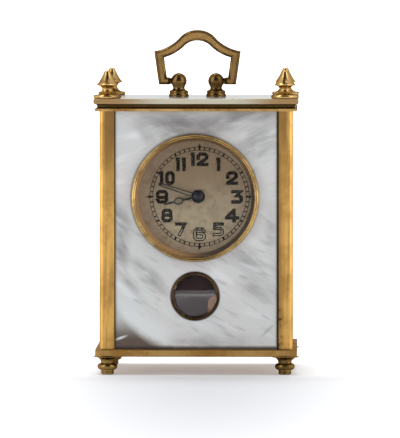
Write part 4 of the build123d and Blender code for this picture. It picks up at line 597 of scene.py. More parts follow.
def grimy(tree, place, flat, parts, colour):
    """Painted shadow in the joints round bezel and window, along the foot of the sheet and at its sides."""
    for node, (wide, ring_darkness) in RING_SHADOWS.items():
        low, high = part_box(node)
        middle = ((low.x + high.x) / 2, 0.0, (low.z + high.z) / 2)
        beyond = calc(tree, "SUBTRACT", reach_from(tree, flat, middle), (high.x - low.x) / 2)
        colour = tint(tree, times(tree, rise(tree, beyond, wide, 0.0), ring_darkness), colour, GRIME_AND_SHADOW)
    uneven = cloud(tree, place, FOOT_SHADOW_SIZE, detail=4.0)
    ragged = plus(tree, parts["Z"], uneven, -FOOT_SHADOW_WANDER)
    foot_shadow = times(tree, rise(tree, ragged, *FOOT_SHADOW), FOOT_SHADOW_SHARE)
    outward_reach = calc(tree, "ABSOLUTE", parts["X"])
    sides = rise(tree, outward_reach, PANEL_HALF_WIDTH - SIDE_SHADOW, PANEL_HALF_WIDTH)
    all_shadow = calc(tree, "MAXIMUM", foot_shadow, times(tree, sides, SIDE_SHADOW_SHARE))
    return tint(tree, all_shadow, colour, GRIME_AND_SHADOW)


def front_marks(tree, place, colour):
    """The slanting streaks turn below the dial, and clouds, the brown corner with its painted highlights,
    and painted shadow lie over them.
    """
    flat = flat_place(tree, place)
    parts = split(tree, place)
    lower = put(tree, "ShaderNodeGroup", {"Place": place, "Slant": LOWER_SLANT}, node_tree=nacre).outputs
    colour = tint(tree, rise(tree, parts["Z"], *SLANT_CHANGE), colour, lower["Colour"])
    colour = clouded(tree, flat, colour)
    colour = brown_cornered(tree, place, flat, parts, colour)
    return grimy(tree, place, flat, parts, colour)


def coated(finish, *nodes):
    """CAD pieces whose shape is right keep it, and get a finish."""
    for node in nodes:
        frame["nodes"][node].material_slots[0].material = finish


coated(pearl("front_pearl", UPPER_SLANT, front_marks), "front_panel")
coated(pearl("side_pearl", SIDE_SLANT), "left_panel", "right_panel")

# Top plate and slab: a brass plate with a hollow moulding, and a slab of pearl laid on it.
# The hollow is darkened with painted shade, and the slab's sawn edges have gone cream, and gold at the
# ends.
SLAB_CREAM = (0.53, 0.49, 0.36, 1.0)
SLAB_GOLD = (0.31, 0.172, 0.048, 1.0)
COVE_FOOT = 0.80 * MM
COVE_SHADE_BROWN = (0.055, 0.030, 0.008, 1.0)
COVE_FADE = 0.30 * MM
COVE_GRAIN = 3 * MM
COVE_WANDER = 0.3 * MM
COVE_SHARE = 0.93
LIP_MELLOW = (0.58, 0.355, 0.125, 1.0)
SAWN_FROM = 0.35 * MM
SAWN_FULL = 0.15 * MM
CREAM_SHARE = 0.9
GOLD_BLOTCH = 4 * MM
GOLD_WANDER = 7 * MM
GOLD_BEYOND = (12 * MM, 25 * MM)
GOLD_SHARE = 0.92
SLAB_SLANT = (0, 0, radians(25))
slab_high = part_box("top_slab")[1]
plate_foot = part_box("top_plate")[0].z


def cove_tarnish(tree, place, colour):
    """The hollow of the moulding, darkened with painted shade above the plate's lower lip."""
    height = split(tree, place)["Z"]
    ragged = plus(tree, height, cloud(tree, place, COVE_GRAIN, detail=4.0), COVE_WANDER)
    lip_top = plate_foot + COVE_FOOT
    cove = rise(tree, ragged, lip_top, lip_top + COVE_FADE)
    return tint(tree, times(tree, cove, COVE_SHARE), colour, COVE_SHADE_BROWN)


def warm_edges(tree, place, colour):
    """The slab's sawn edges, cream in the middle and gold towards the ends."""
    parts = split(tree, place)
    across, deep = (calc(tree, "ABSOLUTE", parts[axis]) for axis in "XY")
    front_edge = rise(tree, deep, slab_high.y - SAWN_FROM, slab_high.y - SAWN_FULL)
    side_edge = rise(tree, across, slab_high.x - SAWN_FROM, slab_high.x - SAWN_FULL)
    edge = calc(tree, "MAXIMUM", front_edge, side_edge)
    colour = tint(tree, times(tree, edge, CREAM_SHARE), colour, SLAB_CREAM)
    blotchy = plus(tree, across, cloud(tree, place, GOLD_BLOTCH, detail=4.0), GOLD_WANDER)
    ends = times(tree, edge, rise(tree, blotchy, *GOLD_BEYOND))
    return tint(tree, times(tree, ends, GOLD_SHARE), colour, SLAB_GOLD)


top_gilt = aged_metal("top_plate_brass", LIP_MELLOW, GILT_DULL, GILT_SPOT,
                      dulled=0.9, rough=0.24, marks=cove_tarnish)
dressed("top_plate", top_gilt)
dressed("top_slab", pearl("slab_pearl", SLAB_SLANT, warm_edges))

# Finials: turned brass nuts on the posts' studs, with a rim, a neck, a cup and a slim cone.
# They are screwed down hard and hold the slab and the top plate on the posts.
FINIAL_RADIUS = 3.66 * MM
TURNED_BRIGHT = (0.53, 0.34, 0.13, 1.0)
TURNED_DULL = (0.20, 0.11, 0.036, 1.0)
finial_low, finial_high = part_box("finials")
finial_profile = profile(
    FINIAL_RADIUS, finial_high.z - finial_low.z,
    [(0.0, 0.0), (0.90, 0.0)],
    [(0.90, 0.0), (0.99, 0.06), (0.93, 0.13)],
    [(0.93, 0.13), (0.53, 0.19), (0.38, 0.31)],
    [(0.38, 0.31), (0.48, 0.42), (0.71, 0.46)],
    [(0.75, 0.48), (0.75, 0.50)],
    [(0.66, 0.54)],
    [(0.66, 0.54), (0.43, 0.73), (0.25, 0.92)],
    [(0.25, 0.92), (0.18, 0.98), (0.0, 1.0)],
)
finial = turned("finial", [(radius, finial_low.z + up) for radius, up in finial_profile])
turned_gilt = aged_metal("polished_turned_brass", TURNED_BRIGHT, TURNED_DULL, GILT_SPOT,
                         dulled=0.8, rough=0.11)
dressed("finials", turned_gilt, on_each_post(finial, turned_gilt))

# Handle: a bow-shaped brass bail with bevelled edges, sprung between two ball lugs.
# Each lug is turned in one with its collar, and a nut under the top plate holds its stud.
LUG_SPREAD = 9.8 * MM
LUG_RISE = 4.15 * MM
LUG_BALL = 2.1 * MM
LUG_NECK = 1.52 * MM
LUG_COLLAR = 2.6 * MM
LUG_HOLLOW = (1.66 * MM, 1.98 * MM)
LUG_NECK_STRAIGHT = 0.25 * MM
LUG_BRIGHT = (0.185, 0.112, 0.038, 1.0)
LUG_DULL = (0.065, 0.036, 0.013, 1.0)
HANDLE_BRIGHT = (0.74, 0.45, 0.16, 1.0)
HANDLE_DULL = (0.12, 0.068, 0.023, 1.0)
HANDLE_EDGE_SHADE = (0.050, 0.028, 0.010, 1.0)
HANDLE_EDGE = 0.08 * MM
HANDLE_BAND = 0.34 * MM
ARMS_SHARE = 0.55
EDGE_FULL = 0.9
OUTER_SHARE = 0.9
INNER_SHARE = 0.7
FLAT_ENOUGH = 0.97
lug_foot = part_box("finials")[0].z
bail_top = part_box("handle")[1].z
ARMS_BELOW = (bail_top - 4 * MM, bail_top - 8 * MM)
ball_foot = LUG_RISE - sqrt(LUG_BALL ** 2 - LUG_NECK ** 2)
# The collar's radii are shares of its width, and its heights are in millimetres.
collar = profile(
    LUG_COLLAR, MM,
    [(0.0, 0.0), (1.0, 0.0)],
    [(0.96, 0.05), (1.0, 0.48), (0.93, 0.92)],
    [(0.88, 0.98), (0.95, 1.3), (0.80, 1.7)],
)
neck = arc(collar[-1], LUG_HOLLOW, (LUG_NECK, ball_foot - LUG_NECK_STRAIGHT))
ball = arc((LUG_NECK, ball_foot), (LUG_BALL, LUG_RISE), (0.0, LUG_RISE + LUG_BALL), steps=18)
lug = turned("lug", [(radius, lug_foot + up) for radius, up in collar + neck + ball])
lug_gilt = aged_metal("darkened_lug_brass", LUG_BRIGHT, LUG_DULL, GILT_SPOT, dulled=0.8, rough=0.14)
pair = {"Across": LUG_SPREAD, "Deep": 0.0, "Columns": 2, "Rows": 1, "Material": lug_gilt}
dressed("handle_lugs", lug_gilt, grown(set_out, lug, pair))
coated(gilt, "lug_nuts")


def handled(tree, place, colour):
    """Dull arms, with painted shade: dark along the outer edges and dull along the inner ones."""
    turned_out = put(tree, "ShaderNodeAttribute", attribute_name="turned_out").outputs["Fac"]
    height = split(tree, place)["Z"]
    arms = times(tree, rise(tree, height, *ARMS_BELOW), ARMS_SHARE)
    colour = tint(tree, arms, colour, HANDLE_DULL)
    # Painted shade by facing: the outward edges dark, the inward ones dull.
    outer = times(tree, rise(tree, turned_out, 0.0, EDGE_FULL), OUTER_SHARE)
    inner = times(tree, rise(tree, turned_out, 0.0, -EDGE_FULL), INNER_SHARE)
    colour = tint(tree, outer, colour, HANDLE_EDGE_SHADE)
    return tint(tree, inner, colour, HANDLE_DULL)


bail = merged("handle")
work = bmesh.new()
work.from_mesh(bail)
front_and_back = sorted(work.faces, key=lambda face: face.calc_area())[-2:]
bmesh.ops.inset_region(work, faces=front_and_back, thickness=HANDLE_BAND, use_even_offset=True)
work.to_mesh(bail)
work.free()
axle_height = lug_foot + LUG_RISE
turned_out = bail.attributes.new("turned_out", "FLOAT", "POINT")
for face in bail.polygons:
    away = face.normal.x * face.center.x + face.normal.z * (face.center.z - axle_height)
    if abs(face.normal.y) < FLAT_ENOUGH:
        for corner in face.vertices:
            turned_out.data[corner].value = 1.0 if away > 0 else -1.0
handle_gilt = aged_metal("handled_brass", HANDLE_BRIGHT, HANDLE_DULL, GILT_SPOT,
                         dulled=0.3, rough=0.16, marks=handled)
dressed("handle", handle_gilt, bail, soft_edge=HANDLE_EDGE)

# Rear door: a brass frame round a pane of clear glass, opened to wind and set the clock.
# It swings on two steel pins at its right edge, and a small turned knob pulls it open.
GLASS_TINT = (0.985, 0.995, 0.99, 1.0)
GLASS_BENDING = 1.48
SMEAR_SIZE = 7 * MM
SMEARS_BETWEEN = (0.45, 0.8)
SMEAR_ROUGHNESS = 0.008


def clear_glass(name, colour, rough, bending):
    """Glass that lets the light through to what is behind it."""
    finish, tree, shader, place = new_finish(name)
    smears = rise(tree, cloud(tree, place, SMEAR_SIZE, detail=4.0), *SMEARS_BETWEEN)
    smeared = plus(tree, rough, smears, SMEAR_ROUGHNESS)
    fill(tree, shader, {"Base Color": colour, "Roughness": smeared,
                        "Transmission Weight": 1.0, "IOR": bending})
    path = put(tree, "ShaderNodeLightPath").outputs
    through = calc(tree, "MAXIMUM", path["Is Shadow Ray"], path["Is Diffuse Ray"])
    clear = put(tree, "ShaderNodeBsdfTransparent", {"Color": colour}).outputs[0]
    both = put(tree, "ShaderNodeMixShader", {0: through, 1: shader.outputs[0], 2: clear}).outputs[0]
    fill(tree, tree.nodes["Material Output"], {"Surface": both})
    return finish


pane_glass = clear_glass("door_pane_glass", GLASS_TINT, rough=0.01, bending=GLASS_BENDING)
door_gilt = aged_metal("door_frame_brass", POST_BRIGHT, GILT_DULL, GILT_SPOT, dulled=0.35, rough=0.30)
dressed("door_frame", door_gilt)
coated(pane_glass, "door_glass")
KNOB_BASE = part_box("door_frame")[1].y
KNOB_RADIUS = 1.35 * MM
knob_low, knob_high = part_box("door_knob")
knob_at = ((knob_low.x + knob_high.x) / 2, KNOB_BASE, (knob_low.z + knob_high.z) / 2)
knob_profile = profile(
    KNOB_RADIUS, knob_high.y - KNOB_BASE,
    [(0.0, -0.4), (0.50, -0.4), (0.62, 0.0), (0.55, 0.30)],
    [(0.55, 0.30), (1.0, 0.62), (0.55, 1.0)],
    [(0.0, 1.0)],
)
dressed("door_knob", door_gilt, turned("door_knob", knob_profile, knob_at, facing=True))

# Bezel, housing and crystal: a slim polished ring pressed on a tube that passes through the panel.
# The domed crystal is sprung into the ring's lip, and a sloping brass ring runs down to the dial.
BEZEL_BRIGHT = (0.52, 0.345, 0.135, 1.0)
BEZEL_DULL = (0.20, 0.12, 0.042, 1.0)
LACQUER_LIT_GOLD = (0.62, 0.35, 0.15, 1.0)
LACQUER_BROWN = (0.21, 0.115, 0.035, 1.0)
LACQUER_SHADE = (0.045, 0.030, 0.020, 1.0)
PANEL_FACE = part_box("front_panel")[0].y
BEZEL_AT = (-0.2 * MM, PANEL_FACE, 46.15 * MM)
BEZEL_RADIUS = 16.42 * MM
BEZEL_BORE = 15.95 * MM
BEZEL_RISE = PANEL_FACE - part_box("bezel")[0].y
BEZEL_LIP = 0.4 * MM
BEZEL_SEAT = 0.4 * MM
BEZEL_BEAD = 0.42 * MM
CRYSTAL_EDGE = 0.68 * MM
CRYSTAL_DOME = 0.12 * MM
CRYSTAL_SLACK = 0.02 * MM
CRYSTAL_BENDING = 1.10
LACQUER_BLOTCH = 3.5 * MM
LACQUER_BLOTCH_SHARE = 0.5
LACQUER_BLOTCH_ROUGHNESS = 0.3
LACQUER_ROUGH = 0.28
LIT_GOLD_SLOPE = 0.30
LIT_GOLD_BETWEEN = (0.15, 1.15)
LACQUER_SHADE_SLOPE = 0.65
LACQUER_SHADE_BETWEEN = (0.35, 0.95)

bezel_brass = aged_metal("bezel_brass_polished", BEZEL_BRIGHT, BEZEL_DULL, GILT_SPOT,
                         dulled=0.7, rough=0.12)
lip_edge = BEZEL_BORE - BEZEL_LIP
bead_foot = BEZEL_RADIUS - BEZEL_BEAD
shoulder = (BEZEL_RADIUS, -0.72 * BEZEL_RISE)
valley = (bead_foot, -0.76 * BEZEL_RISE)
lip = (lip_edge, -0.80 * BEZEL_RISE)
ring = [(BEZEL_BORE, 0.0), (BEZEL_RADIUS, 0.0), shoulder]
ring += arc(shoulder, ((BEZEL_RADIUS + bead_foot) / 2, -BEZEL_RISE), valley)
ring += arc(valley, ((lip_edge + bead_foot) / 2, -0.92 * BEZEL_RISE), lip)
ring += [(lip_edge, -BEZEL_RISE + BEZEL_SEAT), (BEZEL_BORE, -BEZEL_RISE + BEZEL_SEAT)]
dressed("bezel", bezel_brass, turned("bezel", ring, BEZEL_AT, facing=True, steps=180))

# The ring's colour carries painted light: gold towards the lower left, and a painted shadow towards the
# right.
lacquer, tree, shader, place = new_finish("lacquered_ring_painted_light")
middle = (BEZEL_AT[0], 0.0, BEZEL_AT[2])
within = turned_place(tree, flat_place(tree, place), middle, stretch=(BEZEL_BORE, 1, BEZEL_BORE))
parts = split(tree, within)
blotch = times(tree, cloud(tree, place, LACQUER_BLOTCH, detail=4.0), LACQUER_BLOTCH_SHARE)
lit_side = calc(tree, "SUBTRACT", blotch, plus(tree, parts["X"], parts["Z"], LIT_GOLD_SLOPE))
colour = tint(tree, rise(tree, lit_side, *LIT_GOLD_BETWEEN), LACQUER_BROWN, LACQUER_LIT_GOLD)
shady = calc(tree, "SUBTRACT", parts["X"], times(tree, parts["Z"], LACQUER_SHADE_SLOPE))
colour = tint(tree, rise(tree, shady, *LACQUER_SHADE_BETWEEN), colour, LACQUER_SHADE)
rough = plus(tree, LACQUER_ROUGH, blotch, LACQUER_BLOTCH_ROUGHNESS)
fill(tree, shader, {"Base Color": colour, "Roughness": rough, "Metallic": 0.35})
dressed("rehaut_ring", lacquer)
dressed("dial_housing", bezel_brass)


def half_way(radius, dome):
    """How far a round dome stands up at half its radius."""
    bend = (radius ** 2 + dome ** 2) / (2 * dome)
    return dome - bend + sqrt(bend ** 2 - radius ** 2 / 4)


def domed(radius, edge, dome, back):
    """The profile of an even glass that swells forward, from its back middle to its front middle."""
    half = half_way(radius, dome)
    front = back - edge
    hollow = arc((0.0, back - dome), (radius / 2, back - half), (radius, back), steps=16)
    swell = arc((radius, front), (radius / 2, front - half), (0.0, front - dome), steps=16)
    return [(0.0, back - dome)] + hollow + [(radius, front)] + swell


crystal_back = -BEZEL_RISE + BEZEL_SEAT + CRYSTAL_EDGE + CRYSTAL_SLACK
crystal_points = domed(lip_edge - 2 * CRYSTAL_SLACK, CRYSTAL_EDGE, CRYSTAL_DOME, crystal_back)
crystal = turned("crystal", crystal_points, BEZEL_AT, facing=True, steps=128)
dressed("crystal", clear_glass("crystal_glass", GLASS_TINT, rough=0.005, bending=CRYSTAL_BENDING), crystal)

# Dial: a silvered brass disc, gone matt and tan under the glass, with brown specks and stains.
# Two feet behind it hold it on the movement's front plate.
DIAL_TAN = (0.225, 0.152, 0.083, 1.0)
DIAL_PALE = (0.375, 0.300, 0.200, 1.0)
DIAL_RIM = (0.285, 0.198, 0.135, 1.0)
DIAL_BROWN = (0.085, 0.045, 0.020, 1.0)
dial_low, dial_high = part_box("dial")
DIAL_AT = ((dial_low.x + dial_high.x) / 2, dial_low.y, (dial_low.z + dial_high.z) / 2)
DIAL_RADIUS = (dial_high.x - dial_low.x) / 2
FADED_PATCH = 9 * MM
TAN_ABOVE = (DIAL_AT[2] - 2 * MM, DIAL_AT[2] + 13 * MM)
RIM_BEYOND = (0.75 * DIAL_RADIUS, 1.08 * DIAL_RADIUS)
RIM_WANDER = 4 * MM
RIM_SHARE = 0.75
MOTTLE_SIZE = 1.3 * MM
MOTTLE_BETWEEN = (0.44, 0.70)
MOTTLE_SHARE = 0.6
MOTTLE_ROUGHNESS = 0.3
DIAL_ROUGH = 0.46
DIAL_STAIN = 3.4 * MM
DIAL_STAINS_BETWEEN = (0.50, 0.66)
DIAL_STAINS_SHARE = 0.22
SPECK_SIZE = 0.6 * MM
SPECKS_BETWEEN = (0.64, 0.72)
SPECKS_SHARE = 0.4
SPECKS_MORE_IN_STAINS = 0.5
BRUSH_WIDTH = 0.08 * MM
BRUSH_STRETCH = (1, 1, 20)

silvering, tree, shader, place = new_finish("aged_dial_silvering")
flat = flat_place(tree, place)
parts = split(tree, place)
reach = reach_from(tree, flat, (DIAL_AT[0], 0.0, DIAL_AT[2]))
faded = cloud(tree, flat, FADED_PATCH, detail=5.0, twist=0.4)
upper = plus(tree, parts["Z"], faded, FADED_PATCH)
colour = tint(tree, rise(tree, upper, *TAN_ABOVE), DIAL_PALE, DIAL_TAN)
edge = rise(tree, plus(tree, reach, faded, RIM_WANDER), *RIM_BEYOND)
colour = tint(tree, times(tree, edge, RIM_SHARE), colour, DIAL_RIM)
mottle = rise(tree, cloud(tree, flat, MOTTLE_SIZE, detail=6.0), *MOTTLE_BETWEEN)
mottle = times(tree, mottle, MOTTLE_SHARE)
colour = tint(tree, mottle, colour, DIAL_TAN)
stains = rise(tree, cloud(tree, flat, DIAL_STAIN, detail=3.0), *DIAL_STAINS_BETWEEN)
colour = tint(tree, times(tree, stains, DIAL_STAINS_SHARE), colour, DIAL_BROWN)
specks = rise(tree, cloud(tree, flat, SPECK_SIZE, detail=2.0), *SPECKS_BETWEEN)
specks = times(tree, specks, plus(tree, SPECKS_SHARE, stains, SPECKS_MORE_IN_STAINS))
colour = tint(tree, specks, colour, DIAL_BROWN)
rough = plus(tree, DIAL_ROUGH, mottle, MOTTLE_ROUGHNESS)
brushed = cloud(tree, turned_place(tree, flat, stretch=BRUSH_STRETCH), BRUSH_WIDTH)
normal = bumps(tree, brushed, SCRATCH_DEPTH)
fill(tree, shader, {"Base Color": colour, "Roughness": rough, "Normal": normal, "Metallic": 0.25})
coated(silvering, "dial")

# Minute track: printed in dark ink as two thin circles with a mark for every minute,
# a heavier one for every five and a small cross at the quarters.
PRINT_AT = (DIAL_AT[0] + 0.35 * MM, DIAL_AT[1], DIAL_AT[2] - 0.1 * MM)
TRACK_INNER = 12.15 * MM
TRACK_OUTER = 12.95 * MM
TRACK_LINE = 0.15 * MM
LINE_STEPS = 180
INK_RISE = 0.02 * MM
INK_RUBBED = 0.5 * MM
INK_THIN_BETWEEN = (0.52, 0.76)
INK_THIN_ROUGHNESS = 0.2
INK_ROUGH = 0.55
INK_DARK = (0.009, 0.006, 0.004, 1.0)
INK_WORN = (0.08, 0.055, 0.035, 1.0)


def ink(name, wear):
    """Old printing ink, rubbed thin in places."""
    finish, tree, shader, place = new_finish(name)
    thin = rise(tree, cloud(tree, place, INK_RUBBED, detail=4.0), *INK_THIN_BETWEEN)
    colour = tint(tree, times(tree, thin, wear), INK_DARK, INK_WORN)
    rough = plus(tree, INK_ROUGH, thin, INK_THIN_ROUGHNESS)
    fill(tree, shader, {"Base Color": colour, "Roughness": rough, "Specular IOR Level": 0.15})
    return finish


def end_print(tree, print_flat, given, way_out):
    """Stands a flat print up round its middle on the dial, and ends the tree."""
    sockets = {"Geometry": print_flat, "Translation": given["Middle"], "Rotation": (radians(90), 0, 0)}
    upright = put(tree, "GeometryNodeTransform", sockets).outputs[0]
    end_tree(tree, upright, given["Material"], way_out)


marks_tree, given, way_out = new_tree(
    "marks_round_a_dial",
    [("Circle", "Float"), ("Count", "Int"), ("Length", "Float"), ("Width", "Float"), ("Rise", "Float"),
     ("Middle", "Vector"), ("Material", "Material")],
)
sockets = {"Vertices": given["Count"], "Radius": given["Circle"]}
ring = put(marks_tree, "GeometryNodeMeshCircle", sockets).outputs["Mesh"]
sockets = {"X": given["Length"], "Y": given["Width"], "Z": given["Rise"]}
size = put(marks_tree, "ShaderNodeCombineXYZ", sockets).outputs[0]
mark = put(marks_tree, "GeometryNodeMeshCube", {"Size": size}).outputs["Mesh"]
number = put(marks_tree, "GeometryNodeInputIndex").outputs[0]
angle = calc(marks_tree, "DIVIDE", times(marks_tree, number, 2 * pi), given["Count"])
turn = put(marks_tree, "ShaderNodeCombineXYZ", {"Z": angle}).outputs[0]
turn = put(marks_tree, "FunctionNodeEulerToRotation", {0: turn}).outputs[0]
sockets = {"Points": ring, "Instance": mark, "Rotation": turn}
marks = put(marks_tree, "GeometryNodeInstanceOnPoints", sockets).outputs[0]
end_print(marks_tree, marks, given, way_out)

lines_tree, given, way_out = new_tree(
    "thin_circle",
    [("Circle", "Float"), ("Width", "Float"), ("Rise", "Float"), ("Middle", "Vector"),
     ("Material", "Material")],
)
sockets = {"Resolution": LINE_STEPS, "Radius": given["Circle"]}
ring = put(lines_tree, "GeometryNodeCurvePrimitiveCircle", sockets).outputs["Curve"]
sockets = {"Width": given["Width"], "Height": given["Rise"]}
section = put(lines_tree, "GeometryNodeCurvePrimitiveQuadrilateral", sockets).outputs["Curve"]
sockets = {"Curve": ring, "Profile Curve": section}
line = put(lines_tree, "GeometryNodeCurveToMesh", sockets).outputs["Mesh"]
end_print(lines_tree, line, given, way_out)

track_ink = ink("worn_track_ink", wear=0.15)
track_middle = (TRACK_INNER + TRACK_OUTER) / 2
for name, circle, count, length, width in (
    ("minute_marks", track_middle, 60, TRACK_OUTER - TRACK_INNER, 0.30 * MM),
    ("five_minute_marks", track_middle, 12, 0.70 * MM, 0.50 * MM),
    ("quarter_marks", TRACK_OUTER, 4, 1.5 * MM, 0.30 * MM),
    ("quarter_bars", TRACK_OUTER + 0.2 * MM, 4, 0.26 * MM, 0.85 * MM),
):
    values = {"Circle": circle, "Count": count, "Length": length, "Width": width, "Rise": 2 * INK_RISE,
              "Middle": PRINT_AT, "Material": track_ink}
    shown(name, grown(marks_tree, bpy.data.meshes.new(name), values), track_ink, "case")
for name, circle in (("track_inner_line", TRACK_INNER), ("track_outer_line", TRACK_OUTER)):
    values = {"Circle": circle, "Width": TRACK_LINE, "Rise": 2 * INK_RISE, "Middle": PRINT_AT,
              "Material": track_ink}
    shown(name, grown(lines_tree, bpy.data.meshes.new(name), values), track_ink, "case")

# Numerals: heavy upright figures, printed as a dark outline round a filling of luminous paint.
# The paint has gone dark in the upper figures and has mostly flaked away in the lower ones.
NUMERAL_HEIGHT = 3.6 * MM
NUMERAL_CIRCLE = 9.78 * MM
FILL_SHARE = 0.32
FIGURE_GAP_SHARE = 0.12
PAINT_DARK = (0.008, 0.006, 0.004, 1.0)
PAINT_GREY = (0.034, 0.032, 0.030, 1.0)
PAINT_PALE = (0.42, 0.36, 0.27, 1.0)
PAINT_RISE = 1.6 * INK_RISE
FLAKE_SIZE = 1.2 * MM
FLAKE_WANDER = 5 * MM
GREY_BELOW = (DIAL_AT[2] + 5 * MM, DIAL_AT[2])
FLAKED_BELOW = (DIAL_AT[2] - 5 * MM, DIAL_AT[2] - 7.5 * MM)
GREY_SLOPE = -0.35
PAINT_GRAIN = 0.3 * MM
PAINT_GRAIN_ROUGHNESS = 0.3
PAINT_ROUGH = 0.5
SIX_WIDTH = 0.91
SIX_PEN = 0.25
SIX_STROKE = [(1, 0.78), (0.82, 1), (0.2, 1), (0, 0.82), (0, 0.18), (0.2, 0), (0.8, 0), (1, 0.17),
              (1, 0.42), (0.8, 0.57), (0.3, 0.57)]
# Each figure has its width and its pen as shares of its height,
# and its strokes as shares of the box that its pen paths fill.
FIGURES = {
    "0": (0.70, 0.25, [[(0, 0.2), (0, 0.8), (0.25, 1), (0.75, 1), (1, 0.8), (1, 0.2), (0.75, 0), (0.25, 0),
                        (0, 0.2)]]),
    "1": (0.31, 0.26, [[(1, 1), (1, 0)], [(0, 0.97), (1, 0.97)]]),
    "2": (0.87, 0.25, [[(0, 0.58), (0, 0.82), (0.2, 1), (0.75, 1), (1, 0.82), (1, 0.66), (0.82, 0.5),
                        (0.12, 0.1)],
                       [(0, 0), (1, 0)]]),
    "3": (0.86, 0.26, [[(0, 1), (0.95, 1), (0.42, 0.6), (0.75, 0.6), (1, 0.44), (1, 0.16), (0.8, 0),
                        (0, 0)]]),
    "4": (1.04, 0.25, [[(0.68, 1), (0.68, 0)], [(0.6, 0.94), (0.06, 0.36)], [(0, 0.28), (1, 0.28)]]),
    "5": (0.82, 0.24, [[(1, 1), (0.06, 1), (0.06, 0.58), (0.74, 0.58), (1, 0.42), (1, 0.17), (0.76, 0),
                        (0, 0)]]),
    "6": (SIX_WIDTH, SIX_PEN, [SIX_STROKE]),
    "7": (0.83, 0.24, [[(0, 1), (1, 1), (0.36, 0)]]),
    "8": (0.83, 0.25, [[(0.04, 0.66), (0.04, 0.86), (0.22, 1), (0.78, 1), (0.96, 0.86), (0.96, 0.66),
                        (0.78, 0.54), (0.22, 0.54), (0.04, 0.66)],
                       [(0, 0.17), (0, 0.4), (0.22, 0.54), (0.78, 0.54), (1, 0.4), (1, 0.17), (0.78, 0),
                        (0.22, 0), (0, 0.17)]]),
    "9": (SIX_WIDTH, SIX_PEN, [[(1 - across, 1 - up) for across, up in SIX_STROKE]]),
}


def pen_edges(points, width, closed):
    """The left and right edge points of a pen stroke along a path, mitred at its corners."""
    edges = []
    for place, here in enumerate(points):
        steps = []
        if closed or place:
            steps.append(here - points[place - 1])
        if closed or place + 1 < len(points):
            steps.append(points[(place + 1) % len(points)] - here)
        sides = [Vector((-step.y, step.x)).normalized() for step in steps]
        middle = (sides[0] + sides[-1]).normalized()
        reach = width / 2 / max(middle.dot(sides[0]), 0.5)
        edges.append((here + middle * reach, here - middle * reach))
    return edges


def pen_stroke(work, path, width, low, high):
    """A raised stroke along a flat path; a path that ends where it starts is closed."""
    closed = path[0] == path[-1]
    points = [Vector(point) for point in (path[:-1] if closed else path)]
    if not closed:
        for end, beside in ((0, 1), (-1, -2)):
            points[end] += (points[end] - points[beside]).normalized() * width / 2
    edges = pen_edges(points, width, closed)
    layers = []
    for raised in (low, high):
        deep = PRINT_AT[1] - raised
        layers.append([[work.verts.new((spot.x, deep, spot.y)) for spot in pair] for pair in edges])
    back, front = layers
    spans = [(here, (here + 1) % len(points)) for here in range(len(points) - (not closed))]
    for here, there in spans:
        work.faces.new((front[here][0], front[there][0], front[there][1], front[here][1]))
        work.faces.new((back[here][1], back[there][1], back[there][0], back[here][0]))
        work.faces.new((back[here][0], back[there][0], front[there][0], front[here][0]))
        work.faces.new((front[here][1], front[there][1], back[there][1], back[here][1]))
    if not closed:
        for end in (0, -1):
            work.faces.new((front[end][0], front[end][1], back[end][1], back[end][0]))


welded, given, way_out = new_tree("welded_strokes", [("Material", "Material")])
sockets = {"Mesh 2": given["Geometry"], "Self Intersection": True}
union = put(welded, "GeometryNodeMeshBoolean", sockets, operation="UNION", solver="EXACT").outputs["Mesh"]
end_tree(welded, union, given["Material"], way_out)


def drawn(name, pen_share, low, high, finish):
    """All twelve numerals as thin raised strokes between two heights above the dial."""
    work = bmesh.new()
    for hour in range(1, 13):
        widths = [FIGURES[figure][0] for figure in str(hour)]
        left = -(sum(widths) + FIGURE_GAP_SHARE * (len(widths) - 1)) / 2
        angle = radians(30 * hour)
        middle = (PRINT_AT[0] + NUMERAL_CIRCLE * sin(angle), PRINT_AT[2] + NUMERAL_CIRCLE * cos(angle))
        for figure in str(hour):
            wide, pen, strokes = FIGURES[figure]
            for stroke in strokes:
                path = [(middle[0] + NUMERAL_HEIGHT * (left + pen / 2 + across * (wide - pen)),
                         middle[1] + NUMERAL_HEIGHT * (1 - pen) * (up - 0.5)) for across, up in stroke]
                pen_stroke(work, path, pen_share * pen * NUMERAL_HEIGHT, low, high)
            left += wide + FIGURE_GAP_SHARE
    return grown(welded, outward(name, work), {"Material": finish})


paint, tree, shader, place = new_finish("old_luminous_paint")
parts = split(tree, place)
flaked = plus(tree, parts["Z"], cloud(tree, place, FLAKE_SIZE, detail=4.0), FLAKE_WANDER)
greyed = plus(tree, flaked, parts["X"], GREY_SLOPE)
colour = tint(tree, rise(tree, greyed, *GREY_BELOW), PAINT_DARK, PAINT_GREY)
colour = tint(tree, rise(tree, flaked, *FLAKED_BELOW), colour, PAINT_PALE)
rough = plus(tree, PAINT_ROUGH, cloud(tree, place, PAINT_GRAIN), PAINT_GRAIN_ROUGHNESS)
fill(tree, shader, {"Base Color": colour, "Roughness": rough, "Specular IOR Level": 0.1})
numeral_ink = ink("numeral_ink", wear=0.2)
outlines = drawn("numeral_outlines", 1.0, -INK_RISE, INK_RISE, numeral_ink)
shown("numeral_outlines", outlines, numeral_ink, "case")
fillings = drawn("numeral_fillings", FILL_SHARE, 0.0, PAINT_RISE, paint)
shown("numeral_fillings", fillings, paint, "case")

